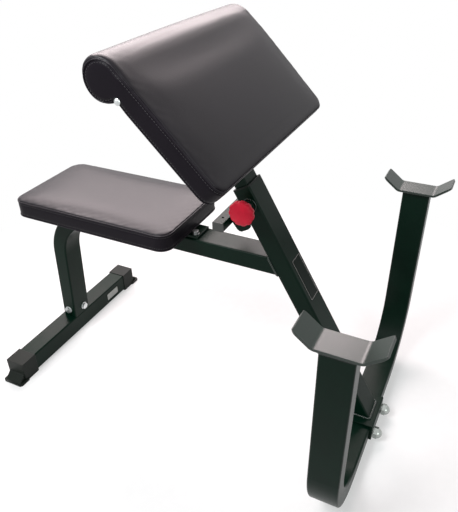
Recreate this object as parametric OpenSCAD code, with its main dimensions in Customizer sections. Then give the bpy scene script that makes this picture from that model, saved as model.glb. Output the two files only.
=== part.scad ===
// Preacher curl bench. Millimetres, +Z up, front (bar rack) at -Y, seat at +Y.
// The origin is the centre of the footprint on the floor.

/* [Overall] */
// Length from the bar cradles' front tips to the rear feet
bench_l = 940; // [850:5:1050]

/* [Frame tube] */
// Width across X of the rail, leg and post tube, and along Y of the rack tube
tube_w = 60; // [50:1:70]
// Depth of the same rectangular tube
tube_d = 40; // [34:1:46]
// Wall of the frame tube
tube_wall = 2.5; // [2:0.5:3.5]
// Outside corner radius of the frame tube
tube_r = 4; // [3.6:0.2:6]

/* [Rear base] */
// Length of the base over its two caps
base_l = 485; // [420:5:560]
// Side of the square base tube
base_sq = 50; // [44:1:60]
// Skin of the plastic foot caps
cap_skin = 1.5; // [1:0.5:3]
// Rubbery sole under the base tube
cap_sole = 3.5; // [2:0.5:6]
// Length of a foot cap
cap_l = 46; // [35:1:70]
// Reach of the floor lip beyond the cap
lip_l = 23; // [10:1:35]
// Width of the floor lip
lip_w = 60; // [54:1:72]
// Thickness of the floor lip
lip_t = 5; // [3:0.5:8]

/* [Leg and rail] */
// Lean of the leg from upright, in degrees
leg_lean = 3; // [0:0.5:8]
// Bend radius on the tube's centre line
bend_r = 130; // [100:5:160]
// Height of the rail's top face
rail_top = 411; // [380:1:440]

/* [Post] */
// Angle of the post from the floor
post_angle = 60; // [52:1:68]
// Length of the post along its axis, above the saddle
post_l = 588; // [540:1:620]
// Height of the plastic rim on the post
rim_t = 3; // [2:0.5:5]

/* [Bar rack] */
// Width over the two rack arms
rack_w = 638; // [560:2:720]
// Outside radius of the rack's lower corners
rack_r = 165; // [100:5:200]
// Height of the arm tubes
rack_h = 465; // [420:1:520]
// Thickness of the plate that closes each arm
arm_plate_t = 3; // [2:0.5:5]
// Thickness of the cradle's flat bar
cradle_t = 5; // [4:0.5:8]
// Width of the cradle's flat bar
cradle_w = 54; // [40:1:70]
// Length of the cradle's flat floor
cradle_flat = 78; // [60:1:100]
// Length of each flared end
cradle_flare = 41; // [25:1:60]
// Rise of the flared ends, in degrees
cradle_angle = 38; // [20:1:60]
// Offset of the cradle toward the middle of the bench
cradle_in = 3; // [0:0.5:6]

/* [Saddle] */
// Width of the saddle under the post
saddle_w = 100; // [90:1:130]
// Plate thickness of the saddle
saddle_t = 6; // [4:0.5:8]
// Distance of the two saddle bolts from the middle
saddle_bolt_x = 38; // [37:0.5:42]
// Clearance of the saddle flanges from the floor
saddle_lift = 5; // [2:1:10]

/* [Seat] */
// Width of the seat cushion
seat_w = 242; // [220:2:300]
// Length of the seat cushion
seat_l = 421; // [380:1:440]
// Front edge of the seat, from the middle of the bench
seat_y = 26; // [0:1:50]
// Height from the underside to the upper seam
seat_t = 41; // [34:1:60]
// Rise of the crown above the seam
seat_crown = 9; // [3:0.5:15]
// Corner radius of the seat in plan
seat_r = 30; // [15:1:60]
// Thickness of the two seat brackets
bracket_t = 6; // [4:0.5:8]

/* [Arm pad] */
// Width of the arm pad
pad_w = 496; // [440:2:560]
// Slope of the arm pad, in degrees
pad_angle = 45; // [40:1:50]
// Distance from the roll's junction down to the front edge
pad_l = 212; // [190:1:240]
// Thickness to the upper seam
pad_t = 43; // [38:1:50]
// Rise of the crown above the seam
pad_crown = 5; // [2:0.5:10]
// Radius of the roll at the upper end
roll_r = 37; // [34:0.5:44]
// Place of the pad along the post's axis
pad_at = 830.7; // [820:0.5:845]
// Thickness of the boards under both cushions
board_t = 12; // [9:1:15]
// Gap between a board and the foam around it
board_gap = 0.2; // [0.1:0.1:0.5]

/* [Height adjustment] */
// Width of the inner tube
inner_w = 50; // [46:0.5:52]
// Depth of the inner tube
inner_d = 30; // [27:0.5:32]
// Travel of the pad along the post
travel = 120; // [90:6:120]
// Play between sliding faces
slide_fit = 0.08; // [0.04:0.01:0.1]
// Radius of the pull pin
pin_r = 4.5; // [3.5:0.25:5]
// Pull of the pin
pin_pull = 8; // [7:0.5:8]
// Radius of the red knob over its lobes
knob_r = 27; // [22:0.5:32]

/* [Fasteners] */
// Radius of the leg bolts
bolt_r = 5; // [4:0.5:5]
// Radius of the two saddle bolts
saddle_r = 7; // [6:0.5:7]
// Clearance of a bolt in its hole
bolt_gap = 0.25; // [0.1:0.05:0.5]
// Play of a nut on its thread
thread_gap = 0.05; // [0.02:0.01:0.1]
// Radius of the cushion bolts
small_r = 4; // [3:0.5:4]

/* [Hidden] */
$fn = 48;
knob_lobes = 11;
holes = 7;
base_top = cap_sole + base_sq;
base_y = bench_l / 2 - lip_w / 2;
flare_run = cradle_flare * cos(cradle_angle) + cradle_t * sin(cradle_angle);
rack_y = -bench_l / 2 + cradle_flat / 2 + flare_run;
arm_x = rack_w / 2 - tube_d / 2;
cradle_z = rack_h + arm_plate_t + cradle_t;
saddle_top = tube_d + saddle_t;
rail_c = rail_top - tube_d / 2;
leg_y = base_y - base_sq / 2 + tube_d / 2 / cos(leg_lean);
leg_drop = rail_c - bend_r + bend_r * sin(leg_lean) - base_top;
bend_y = leg_y - bend_r * cos(leg_lean) - leg_drop * tan(leg_lean);
post_top = post_l + rim_t;
pin_at = post_top - 39.4;
pitch = travel / (holes - 1);
inner_lo = pin_at - travel - 56;
inner_hi = 790;
inner_wall = 2.5;
pad_off = -15.2;
turn = post_angle - pad_angle;
roll_y = 43.8;
roll_z = pad_t + 1 - roll_r;
seat_z = rail_top + bracket_t;
cross_l = 140;
cross_w = 25;
cross_h = 20;
cross_z = 484;
cross_y = post_rear(cross_z) + 38 + cross_w / 2;

// A point of the post's own plane, along its axis and behind its centre line, as [y, z].
function post_pt(a, d) = [
    rack_y + a * cos(post_angle) + d * sin(post_angle),
    saddle_top + a * sin(post_angle) - d * cos(post_angle)
];
// Where the post's rear face stands at height z.
function post_rear(z) = rack_y + (z - saddle_top) / tan(post_angle) + tube_d / 2 / sin(post_angle);
// How far in front of the post's centre line the mount plate's underside lies at a.
function plate_depth(a) = pad_off + plate_t / cos(turn) + (a - pad_at) * tan(turn);
plate_t = 5;

// Part group: shared shapes

// A rectangle with round corners, in the plane.
module rr(w, d, r) {
    square([w - 2 * r, d], center = true);
    square([w, d - 2 * r], center = true);
    for (x = [-1, 1])
        for (y = [-1, 1])
            translate([x * (w / 2 - r), y * (d / 2 - r)]) circle(r);
}

module box(lo, hi) {
    translate(lo) cube(hi - lo);
}

// Local z runs up the post, local y runs rearward from its centre line.
module on_post() {
    translate([0, rack_y, saddle_top]) rotate([post_angle - 90, 0, 0]) children();
}

// Local z runs up the leg from the base tube's top.
module on_leg() {
    translate([0, leg_y, base_top]) rotate([leg_lean, 0, 0]) children();
}

// Local y runs up the pad's slope, local z leaves its underside.
module on_pad() {
    at = post_pt(pad_at, pad_off);
    translate([0, at[0], at[1]]) rotate([pad_angle, 0, 0]) children();
}

// Local z runs out of the post's near side, along the pull pin.
module on_pin() {
    on_post() translate([0, 0, pin_at]) rotate([0, -90, 0]) children();
}

module ring(r_out, r_in, h) {
    difference() {
        cylinder(r = r_out, h = h);
        translate([0, 0, -1]) cylinder(r = r_in, h = h + 2);
    }
}

// Hexagon head on z = 0 going up, shank going down.
module hex_bolt(r, l, head_h = 6) {
    cylinder(r = 1.85 * r, h = head_h, $fn = 6);
    translate([0, 0, -l]) cylinder(r = r, h = l);
}

module hex_nut(r, h) {
    difference() {
        cylinder(r = 1.85 * r, h = h, $fn = 6);
        translate([0, 0, -1]) cylinder(r = r + thread_gap, h = h + 2);
    }
}

// Rings of points joined into one closed skin; each end closes on its hub point.
function mean_pt(ring) = [for (c = [0 : 2]) [for (p = ring) p[c]] * [for (p = ring) 1] / len(ring)];
module skin(rings, hubs = []) {
    n = len(rings[0]);
    m = len(rings);
    ends = len(hubs) == 2 ? hubs : [mean_pt(rings[0]), mean_pt(rings[m - 1])];
    points = concat([for (ring = rings) for (p = ring) p], ends);
    faces = concat(
        [for (j = [0 : m - 2]) for (i = [0 : n - 1]) each [
            [j * n + i, (j + 1) * n + i, (j + 1) * n + (i + 1) % n],
            [j * n + i, (j + 1) * n + (i + 1) % n, j * n + (i + 1) % n]
        ]],
        [for (i = [0 : n - 1]) [m * n, i, (i + 1) % n]],
        [for (i = [0 : n - 1]) [m * n + 1, (m - 1) * n + (i + 1) % n, (m - 1) * n + i]]
    );
    polyhedron(points = points, faces = faces, convexity = 6);
}

// Part group: rear base

module rear_base_tube() {
    color("#161816") translate([0, base_y, cap_sole + base_sq / 2]) rotate([0, 90, 0])
        difference() {
            linear_extrude(base_l - 2 * cap_skin, center = true) rr(base_sq, base_sq, tube_r);
            linear_extrude(base_l, center = true)
                rr(base_sq - 2 * tube_wall, base_sq - 2 * tube_wall, tube_r - tube_wall);
        }
}

// A push-on cap with a flared lip on the floor.
module foot_cap() {
    out = base_l / 2;
    w = base_sq + 2 * cap_skin;
    color("#101010") translate([0, base_y, 0]) difference() {
        union() {
            box([out - cap_l, -w / 2, 0], [out, w / 2, base_top + cap_skin]);
            translate([out + lip_l / 2 - 6, 0, 0]) linear_extrude(lip_t) rr(lip_l + 12, lip_w, 8);
            rotate([90, 0, 0]) linear_extrude(w - 6, center = true)
                polygon([[out - 1, 0], [out - 1, 22], [out + 3, 20],
                         [out + lip_l - 4, lip_t], [out + lip_l - 4, 0]]);
        }
        translate([out - cap_skin - cap_l, 0, cap_sole + base_sq / 2]) rotate([0, 90, 0])
            linear_extrude(cap_l) rr(base_sq, base_sq, tube_r);
    }
}

module rear_foot_cap_right() {
    foot_cap();
}

module rear_foot_cap_left() {
    mirror([1, 0, 0]) foot_cap();
}

// Part group: leg and rail

// The bent path of leg and rail, for the outside and for the bore, all in the bend's own plane.
module leg_path(w, d, r) {
    translate([0, bend_y, rail_c - bend_r]) rotate([90, 0, 90]) {
        translate([0, bend_r, 0]) rotate([0, -90, 0]) linear_extrude(bend_y - rack_y) rr(w, d, r);
        difference() {
            rotate([0, 0, leg_lean]) {
                rotate_extrude(angle = 100 - leg_lean) translate([bend_r, 0]) rr(d, w, r);
                translate([bend_r, 0, 0]) rotate([90, 0, 0])
                    linear_extrude(leg_drop / cos(leg_lean) + 20) rr(d, w, r);
            }
            // the bend ends square on the rail
            translate([-bend_r, 0, -w]) cube([bend_r, 2 * bend_r, 2 * w]);
        }
    }
}

module leg_and_seat_rail() {
    color("#161816") difference() {
        leg_path(tube_w, tube_d, tube_r);
        leg_path(tube_w - 2 * tube_wall, tube_d - 2 * tube_wall, tube_r - tube_wall);
        // the rail ends on the post's rear face
        on_post() translate([-tube_w, -1000, -200]) cube([2 * tube_w, 1000 + tube_d / 2, 1200]);
        // the leg ends on the base tube
        box([-tube_w, base_y - 200, base_top - 60], [tube_w, base_y + 200, base_top]);
        leg_bolt_holes(bolt_r + bolt_gap);
        bracket_bolt_holes();
    }
}

// The two places where the leg is bolted, axes leaving the tube.
module at_side_bolt() {
    on_leg() translate([-tube_w / 2, 0, 24]) rotate([0, -90, 0]) children();
}

module at_front_bolt() {
    on_leg() translate([8, -tube_d / 2, 20]) rotate([90, 0, 0]) children();
}

module leg_bolt_holes(r) {
    at_side_bolt() translate([0, 0, -12]) cylinder(r = r, h = 16);
    at_front_bolt() translate([0, 0, -10]) cylinder(r = r, h = 14);
}

spigot_gap = 0.2;
spigot_h = 60;

module leg_spigot() {
    w = tube_w - 2 * tube_wall - 2 * spigot_gap;
    d = tube_d - 2 * tube_wall - 2 * spigot_gap;
    color("#161816") difference() {
        on_leg() translate([0, 0, -10]) linear_extrude(spigot_h + 10) difference() {
            rr(w, d, 2);
            square([w - 2 * tube_wall, d - 2 * tube_wall], center = true);
        }
        box([-tube_w, base_y - 200, base_top - 60], [tube_w, base_y + 200, base_top]);
        leg_bolt_holes(bolt_r + bolt_gap);
    }
}

washer_t = 1.6;

module leg_bolts() {
    color("#b9bcbe") {
        at_side_bolt() translate([0, 0, washer_t]) hex_bolt(bolt_r, 14, 5);
        at_front_bolt() translate([0, 0, washer_t]) hex_bolt(bolt_r, 14, 5);
    }
}

module leg_washers() {
    color("#c8cacc") {
        at_side_bolt() ring(10, bolt_r + bolt_gap, washer_t);
        at_front_bolt() ring(10, bolt_r + bolt_gap, washer_t);
    }
}

module leg_nuts() {
    seat = 2 * tube_wall + spigot_gap;
    color("#9a9d9f") {
        at_side_bolt() translate([0, 0, -seat - 6]) hex_nut(bolt_r, 6);
        at_front_bolt() translate([0, 0, -seat - 6]) hex_nut(bolt_r, 6);
    }
}

// Part group: post

module front_post() {
    color("#161816") difference() {
        on_post() translate([0, 0, -60]) linear_extrude(post_l + 60) difference() {
            rr(tube_w, tube_d, tube_r);
            rr(tube_w - 2 * tube_wall, tube_d - 2 * tube_wall, tube_r - tube_wall);
        }
        box([-200, rack_y - 200, saddle_top - 200], [200, rack_y + 200, saddle_top]);
        on_pin() translate([0, 0, tube_w / 2 - 6]) cylinder(r = pin_r + slide_fit, h = 10);
    }
}

module post_bushing() {
    inside_w = tube_w - 2 * tube_wall;
    inside_d = tube_d - 2 * tube_wall;
    color("#0b0b0b") on_post() difference() {
        union() {
            translate([0, 0, post_l - 28]) linear_extrude(28) rr(inside_w, inside_d, tube_r - tube_wall);
            translate([0, 0, post_l]) linear_extrude(rim_t) rr(tube_w, tube_d, tube_r);
        }
        translate([0, 0, post_l - 40]) linear_extrude(60)
            rr(inner_w + 2 * slide_fit, inner_d + 2 * slide_fit, 3);
    }
}

module saddle_foot() {
    half = tube_w / 2;
    out = half + saddle_t;
    color("#161816") difference() {
        translate([0, rack_y, 0]) rotate([90, 0, 90]) linear_extrude(saddle_w, center = true)
            polygon([[-out, saddle_lift], [-out, saddle_top - 2], [-out + 2, saddle_top],
                     [out - 2, saddle_top], [out, saddle_top - 2], [out, saddle_lift],
                     [half, saddle_lift], [half, tube_d], [-half, tube_d], [-half, saddle_lift]]);
        saddle_bolt_holes();
    }
}

// Axis pointing to the front, from the middle of the rack tube.
module at_saddle_bolts() {
    for (x = [-1, 1])
        translate([x * saddle_bolt_x, rack_y, tube_d / 2]) rotate([90, 0, 0]) children();
}

module saddle_bolt_holes() {
    at_saddle_bolts() cylinder(r = saddle_r + bolt_gap, h = 2 * tube_w, center = true);
}

saddle_face = tube_w / 2 + saddle_t;
acorn_washer_t = 2.5;

module saddle_bolts() {
    l = 2 * saddle_face + acorn_washer_t + 10;
    color("#b9bcbe") at_saddle_bolts() translate([0, 0, -saddle_face]) rotate([180, 0, 30])
        hex_bolt(saddle_r, l, 8);
}

module saddle_washers() {
    color("#c8cacc") at_saddle_bolts() translate([0, 0, saddle_face])
        ring(1.7 * saddle_r, saddle_r + bolt_gap, acorn_washer_t);
}

// A hexagon with a dome over its closed end.
module saddle_acorn_nuts() {
    dome = 1.72 * saddle_r;
    color("#d4d6d8") at_saddle_bolts() translate([0, 0, saddle_face + acorn_washer_t]) difference() {
        union() {
            rotate([0, 0, 30]) cylinder(r = 1.97 * saddle_r, h = 9, $fn = 6);
            intersection() {
                translate([0, 0, 6.2]) sphere(r = dome);
                translate([0, 0, 8]) cylinder(r = 2 * dome, h = 2 * dome);
            }
        }
        translate([0, 0, -1]) cylinder(r = saddle_r + thread_gap, h = 12);
    }
}

// Part group: bar rack

module rack_path(w, d, r) {
    run = rack_w / 2 - rack_r;
    translate([0, rack_y, tube_d / 2]) rotate([0, 90, 0]) linear_extrude(2 * run, center = true) rr(d, w, r);
    for (s = [0, 1]) mirror([s, 0, 0]) {
        translate([run, rack_y, rack_r]) rotate([90, 0, 0]) rotate([0, 0, -90])
            rotate_extrude(angle = 90) translate([rack_r - tube_d / 2, 0]) rr(d, w, r);
        translate([arm_x, rack_y, rack_r]) linear_extrude(rack_h - rack_r) rr(d, w, r);
    }
}

module bar_rack_tube() {
    color("#161816") difference() {
        rack_path(tube_w, tube_d, tube_r);
        rack_path(tube_w - 2 * tube_wall, tube_d - 2 * tube_wall, tube_r - tube_wall);
        saddle_bolt_holes();
    }
}

module arm_plate() {
    color("#161816") translate([arm_x, rack_y, rack_h]) linear_extrude(arm_plate_t)
        rr(tube_d + 4, tube_w + 6, 5);
}

module rack_arm_plate_right() {
    arm_plate();
}

module rack_arm_plate_left() {
    mirror([1, 0, 0]) arm_plate();
}

// Flat bar with two bends; both faces of a bend turn round one centre above the bar.
bend_in = 12;
module cradle() {
    h = cradle_flat / 2;
    c = cos(cradle_angle);
    s = sin(cradle_angle);
    t = cradle_t;
    n = 6;
    centre = [h - bend_in * tan(cradle_angle / 2), bend_in];
    tip = [h + cradle_flare * c, cradle_flare * s];
    low = [tip[0] + t * s, tip[1] - t * c];
    half = concat(
        [for (k = [0 : n]) let (a = -90 + cradle_angle * k / n) centre + bend_in * [cos(a), sin(a)]],
        [tip, low],
        [for (k = [n : -1 : 0]) let (a = -90 + cradle_angle * k / n) centre + (bend_in + t) * [cos(a), sin(a)]]
    );
    color("#161816") translate([arm_x - cradle_in, rack_y, cradle_z]) intersection() {
        rotate([90, 0, 90]) linear_extrude(cradle_w + 4, center = true)
            polygon(concat(half, [for (k = [len(half) - 1 : -1 : 0]) [-half[k][0], half[k][1]]]));
        translate([0, 0, -50]) linear_extrude(120) rr(cradle_w, 2 * low[0] + 1, 9);
    }
}

module bar_cradle_right() {
    cradle();
}

module bar_cradle_left() {
    mirror([1, 0, 0]) cradle();
}

// Part group: small tube behind the post

module rear_cross_tube() {
    color("#1a1a18") translate([0, cross_y, cross_z]) difference() {
        rotate([0, 90, 0]) difference() {
            linear_extrude(cross_l, center = true) rr(cross_h, cross_w, 2.5);
            linear_extrude(cross_l + 2, center = true) rr(cross_h - 3, cross_w - 3, 1);
        }
        for (x = [-1, 1]) translate([x * (cross_l / 2 - 22), 0, 0]) cylinder(r = 2.5, h = cross_h);
    }
}

module cross_tube_plugs() {
    color("#3b3d3c") for (s = [0, 1]) mirror([s, 0, 0])
        translate([cross_l / 2, cross_y, cross_z]) rotate([0, 90, 0]) {
            linear_extrude(2) rr(cross_h, cross_w, 2.5);
            translate([0, 0, -10]) linear_extrude(10) rr(cross_h - 3, cross_w - 3, 1);
        }
}

module cross_tube_brackets() {
    front = cross_y - cross_w / 2;
    outline = [post_pt(517, tube_d / 2), post_pt(506, tube_d / 2 + 5), post_pt(503.5, tube_d / 2 + 11),
               post_pt(503.5, tube_d / 2 + 28), post_pt(506, tube_d / 2 + 33), post_pt(512, tube_d / 2 + 36),
               [front, cross_z - cross_h / 2], [front, cross_z + cross_h / 2], post_pt(562, tube_d / 2)];
    color("#161816") for (s = [0, 1]) mirror([s, 0, 0])
        translate([tube_w / 2 - 7, 0, 0]) rotate([90, 0, 90]) linear_extrude(5) polygon(outline);
}

// Part group: seat

bracket_l = 50;
bracket_w = 170;
bracket_front = seat_y + 12;
bracket_rear = bend_y - bracket_l - 2;
tongue_out = 20;
tongue_bolt_in = 11;
sunk_h = 3;
front_bolt = [-15, seat_y - tongue_out + tongue_bolt_in];
rear_bolt = [0, bracket_rear + bracket_l / 2];
rivet_l = 12;

module at_bracket_bolts() {
    for (p = [front_bolt, rear_bolt])
        translate([p[0], p[1], rail_top]) children();
}

module bracket_bolt_holes() {
    at_bracket_bolts() translate([0, 0, -tube_wall - 5]) cylinder(r = small_r + bolt_gap, h = tube_wall + bracket_t + 10);
}

module seat_bracket(y) {
    color("#161816") difference() {
        union() {
            translate([0, y + bracket_l / 2, rail_top]) linear_extrude(bracket_t) rr(bracket_w, bracket_l, 6);
            children();
        }
        bracket_bolt_holes();
        at_seat_bolts() translate([0, 0, -20]) cylinder(r = small_r + bolt_gap, h = 40);
    }
}

// The front bracket has a tongue that stands out in front of the seat, on the rail.
module seat_bracket_front() {
    seat_bracket(bracket_front)
        box([-tube_w / 2 + tube_r, seat_y - tongue_out, rail_top],
            [tube_w / 2 - tube_r, bracket_front + 8, rail_top + bracket_t]);
}

module seat_bracket_rear() {
    difference() {
        seat_bracket(bracket_rear);
        translate([rear_bolt[0], rear_bolt[1], rail_top + bracket_t - sunk_h - board_gap])
            cylinder(r = 2 * small_r + 1, h = bracket_t);
    }
}

// Two bolts hold the brackets to the rail: a flanged one in front, a sunk one under the seat.
module bracket_bolts() {
    color("#b9bcbe") {
        translate([front_bolt[0], front_bolt[1], rail_top + bracket_t]) {
            cylinder(r = 2.1 * small_r, h = 1.8);
            translate([0, 0, 1.5]) cylinder(r = 1.85 * small_r, h = 6.5, $fn = 6);
            translate([0, 0, -bracket_t - tube_wall - rivet_l]) cylinder(r = small_r, h = bracket_t + tube_wall + rivet_l);
        }
        translate([rear_bolt[0], rear_bolt[1], rail_top + bracket_t - sunk_h - board_gap]) {
            cylinder(r = 1.85 * small_r, h = sunk_h);
            translate([0, 0, -tube_wall - rivet_l]) cylinder(r = small_r, h = tube_wall + rivet_l + 1);
        }
    }
}

// Threaded inserts under the rail's top wall.
module bracket_rivet_nuts() {
    color("#9a9d9f") at_bracket_bolts() translate([0, 0, -tube_wall - rivet_l])
        ring(small_r + 2.5, small_r + thread_gap, rivet_l);
}

module at_seat_bolts() {
    for (x = [-1, 1])
        for (y = [bracket_front + bracket_l / 2, bracket_rear + bracket_l / 2])
            translate([x * 62, y, rail_top]) rotate([180, 0, 0]) children();
}

module seat_bolts() {
    color("#b9bcbe") at_seat_bolts() hex_bolt(small_r, bracket_t + board_t - 2, 5);
}

module seat_board() {
    color("#8a6b45") difference() {
        translate([0, seat_y + seat_l / 2, seat_z]) linear_extrude(board_t)
            rr(seat_w - 16, seat_l - 16, seat_r - 8);
        at_seat_bolts() translate([0, 0, -bracket_t - board_t + 1.5]) cylinder(r = small_r + bolt_gap, h = board_t + bracket_t);
    }
}

// A ring of the seat's outline, drawn in by e, at height z above the underside.
function seat_ring(e, z, n = 10) = [
    for (q = [0 : 3]) for (k = [0 : n])
        let (r = max(seat_r - e * 0.6, 4),
             sx = (q == 0 || q == 3) ? 1 : -1,
             sy = (q < 2) ? 1 : -1,
             a = 90 * q + 90 * k / n)
        [sx * (seat_w / 2 - e - r) + r * cos(a), seat_y + seat_l / 2 + sy * (seat_l / 2 - e - r) + r * sin(a), seat_z + z]
];

module seat_cushion() {
    c = seat_crown;
    color("#1c1a1d") difference() {
        skin([seat_ring(3, 0), seat_ring(0.6, 2.5), seat_ring(0, 7), seat_ring(1.2, seat_t * 0.5),
              seat_ring(0, seat_t - 4), seat_ring(0.8, seat_t), seat_ring(5, seat_t + 0.38 * c),
              seat_ring(14, seat_t + 0.66 * c), seat_ring(32, seat_t + 0.86 * c),
              seat_ring(62, seat_t + 0.97 * c), seat_ring(100, seat_t + c)]);
        translate([0, seat_y + seat_l / 2, seat_z - 1]) linear_extrude(board_t + 1)
            rr(seat_w - 16 + 2 * board_gap, seat_l - 16 + 2 * board_gap, seat_r - 8);
    }
}

// Part group: arm pad and its slide

module pin_holes(r) {
    for (k = [0 : holes - 1])
        on_post() translate([-inner_w / 2 - 2, 0, pin_at - k * pitch]) rotate([0, 90, 0]) cylinder(r = r, h = 8);
}

module inner_post() {
    color("#1d1e1d") difference() {
        on_post() translate([0, 0, inner_lo]) linear_extrude(inner_hi - inner_lo) difference() {
            rr(inner_w, inner_d, 3);
            rr(inner_w - 2 * inner_wall, inner_d - 2 * inner_wall, 0.6);
        }
        pin_holes(pin_r + 0.3);
    }
}

module inner_post_glide() {
    color("#0b0b0b") on_post() {
        translate([0, 0, inner_lo - 14]) linear_extrude(14)
            rr(tube_w - 2 * tube_wall - 2 * slide_fit, tube_d - 2 * tube_wall - 2 * slide_fit, 2);
        translate([0, 0, inner_lo]) linear_extrude(18) rr(inner_w - 2 * inner_wall - 0.1, inner_d - 2 * inner_wall - 0.1, 1);
    }
}

module inner_post_plug() {
    color("#0b0b0b") on_post() {
        translate([0, 0, inner_hi]) linear_extrude(2) rr(inner_w, inner_d, 3);
        translate([0, 0, inner_hi - 14]) linear_extrude(14) rr(inner_w - 2 * inner_wall - 0.1, inner_d - 2 * inner_wall - 0.1, 1);
    }
}

// Two upright plates that carry the mount plate on the inner tube.
module pad_gussets() {
    lo = 650;
    hi = 795;
    outline = [post_pt(lo, plate_depth(lo)), post_pt(hi, plate_depth(hi)), post_pt(hi, inner_d / 2 - 4),
               post_pt(lo + 40, inner_d / 2 - 4), post_pt(lo, -inner_d / 2)];
    color("#161816") for (s = [0, 1]) mirror([s, 0, 0])
        translate([inner_w / 2, 0, 0]) rotate([90, 0, 90]) linear_extrude(5) polygon(outline);
}

module at_pad_bolts() {
    for (x = [-1, 1])
        for (y = [-160, -50])
            translate([x * 58, y, -plate_t]) rotate([180, 0, 0]) children();
}

module pad_mount_plate() {
    color("#161816") on_pad() difference() {
        translate([0, -105, -plate_t]) linear_extrude(plate_t) rr(150, 160, 8);
        at_pad_bolts() translate([0, 0, -20]) cylinder(r = small_r + bolt_gap, h = 40);
    }
}

module arm_pad_bolts() {
    color("#b9bcbe") on_pad() at_pad_bolts() hex_bolt(small_r, plate_t + board_t - 2, 5);
}

pad_board_lo = -(pad_l - 9);
pad_board_hi = 30;
pad_board_w = pad_w - 22;

module arm_pad_board() {
    color("#8a6b45") on_pad() difference() {
        box([-pad_board_w / 2, pad_board_lo, 0], [pad_board_w / 2, pad_board_hi, board_t]);
        at_pad_bolts() translate([0, 0, -plate_t - board_t + 1.5]) cylinder(r = small_r + bolt_gap, h = board_t + plate_t);
        at_side_screws() translate([0, 0, -26]) cylinder(r = 2 + board_gap, h = 30);
    }
}

// Axis leaving the pad's side, at the foot of the roll.
module at_side_screws() {
    for (s = [0, 1]) mirror([s, 0, 0])
        translate([pad_w / 2, 5.5, 6]) rotate([0, 90, 0]) children();
}

module arm_pad_side_screws() {
    color("#c8cacc") on_pad() at_side_screws() {
        intersection() {
            translate([0, 0, -5]) sphere(r = 8);
            translate([0, 0, 0.05]) cylinder(r = 9, h = 6);
        }
        translate([0, 0, -24]) cylinder(r = 2, h = 25);
    }
}

// Points of the pad's side outline with their outward normals: [y, z, ny, nz, crown share].
function arc_pts(cy, cz, r, a0, a1, n) = [
    for (k = [0 : n]) let (a = a0 + (a1 - a0) * k / n)
        [cy + r * cos(a), cz + r * sin(a), cos(a), sin(a), 0]
];
end_r = 13;
foot_r = 7;
roll_foot = roll_y - sqrt(roll_r * roll_r - roll_z * roll_z);
pad_side = concat(
    arc_pts(-pad_l + foot_r, foot_r, foot_r, 270, 180, 3),
    arc_pts(-pad_l + end_r, pad_t - end_r, end_r, 180, 92, 5),
    [for (k = [1 : 9]) let (u = k / 10, y = -pad_l + end_r + u * (roll_y + pad_l - end_r))
        [y, pad_t + u, 0, 1, pow(sin(180 * u), 0.6)]],
    arc_pts(roll_y, roll_z, roll_r, 90, -160, 17),
    [[roll_foot, 0, -0.5, -0.9, 0]],
    [for (k = [1 : 4]) let (u = k / 5) [roll_foot - u * (roll_foot + pad_l - foot_r), 0, 0, -1, 0]]
);

// The two lower corners are round in plan: the lower end draws back by an arc near the sides.
corner_r = 25;
corner_ease = 60;
function corner_back(x) = let (d = max(abs(x) - pad_w / 2 + corner_r, 0)) corner_r - sqrt(corner_r * corner_r - d * d);
function eased(y, x) = y + corner_back(x) * min(max((corner_ease - pad_l - y) / corner_ease, 0), 1);

// One ring of the pad at x, drawn in by e, with its share g of the crown.
function pad_ring(x, e, g) = [
    for (p = pad_side) [x, eased(p[0] - e * p[2], x), p[1] - e * p[3] + g * pad_crown * p[4]]
];

module arm_pad_cushion() {
    h = pad_w / 2;
    half = [[h, 4, 0], [h - 0.5, 1.2, 0], [h - 2, 0, 0.06], [h - 5, 0, 0.15], [h - 10, 0, 0.3],
            [h - 17, 0, 0.42], [h - 27, 0, 0.58], [h - 45, 0, 0.72], [h - 80, 0, 0.9], [h - 150, 0, 0.98]];
    stations = concat(half, [[0, 0, 1]],
                      [for (k = [len(half) - 1 : -1 : 0]) [-half[k][0], half[k][1], half[k][2]]]);
    color("#1c1a1d") on_pad() difference() {
        skin([for (s = stations) pad_ring(s[0], s[1], s[2])],
             [[h, roll_y - 4, pad_t / 2], [-h, roll_y - 4, pad_t / 2]]);
        box([-pad_board_w / 2 - board_gap, pad_board_lo - board_gap, -1],
            [pad_board_w / 2 + board_gap, pad_board_hi + board_gap, board_t]);
        at_side_screws() translate([0, 0, -20]) cylinder(r = 2 + board_gap, h = 30, $fn = 16);
    }
}

// Part group: pull pin

housing_l = 20;
knob_at = tube_w / 2 + housing_l + 1;
knob_bore = 16.6;
pin_tip = tube_w / 2 - 9;

module pin_housing() {
    color("#2a2c2b") on_pin() translate([0, 0, tube_w / 2]) difference() {
        union() {
            cylinder(r = 14, h = 5, $fn = 6);
            cylinder(r = 10.5, h = housing_l);
        }
        translate([0, 0, -1]) cylinder(r = 7.5, h = housing_l - 1);
        cylinder(r = pin_r + slide_fit, h = housing_l + 5);
    }
}

collar_z = 0.3;
collar_t = 2.5;
spring_z = tube_w / 2 + collar_z + collar_t + 0.1;
spring_l = housing_l - 2 - collar_z - collar_t - 0.2;

module pull_pin() {
    color("#aeb1b3") on_pin() {
        translate([0, 0, pin_tip]) cylinder(r1 = pin_r - 1, r2 = pin_r, h = 1.5);
        translate([0, 0, pin_tip + 1.5]) cylinder(r = pin_r, h = knob_at + knob_bore - 0.3 - pin_tip - 1.5);
        translate([0, 0, tube_w / 2 + collar_z]) cylinder(r = 7, h = collar_t);
    }
}

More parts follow.
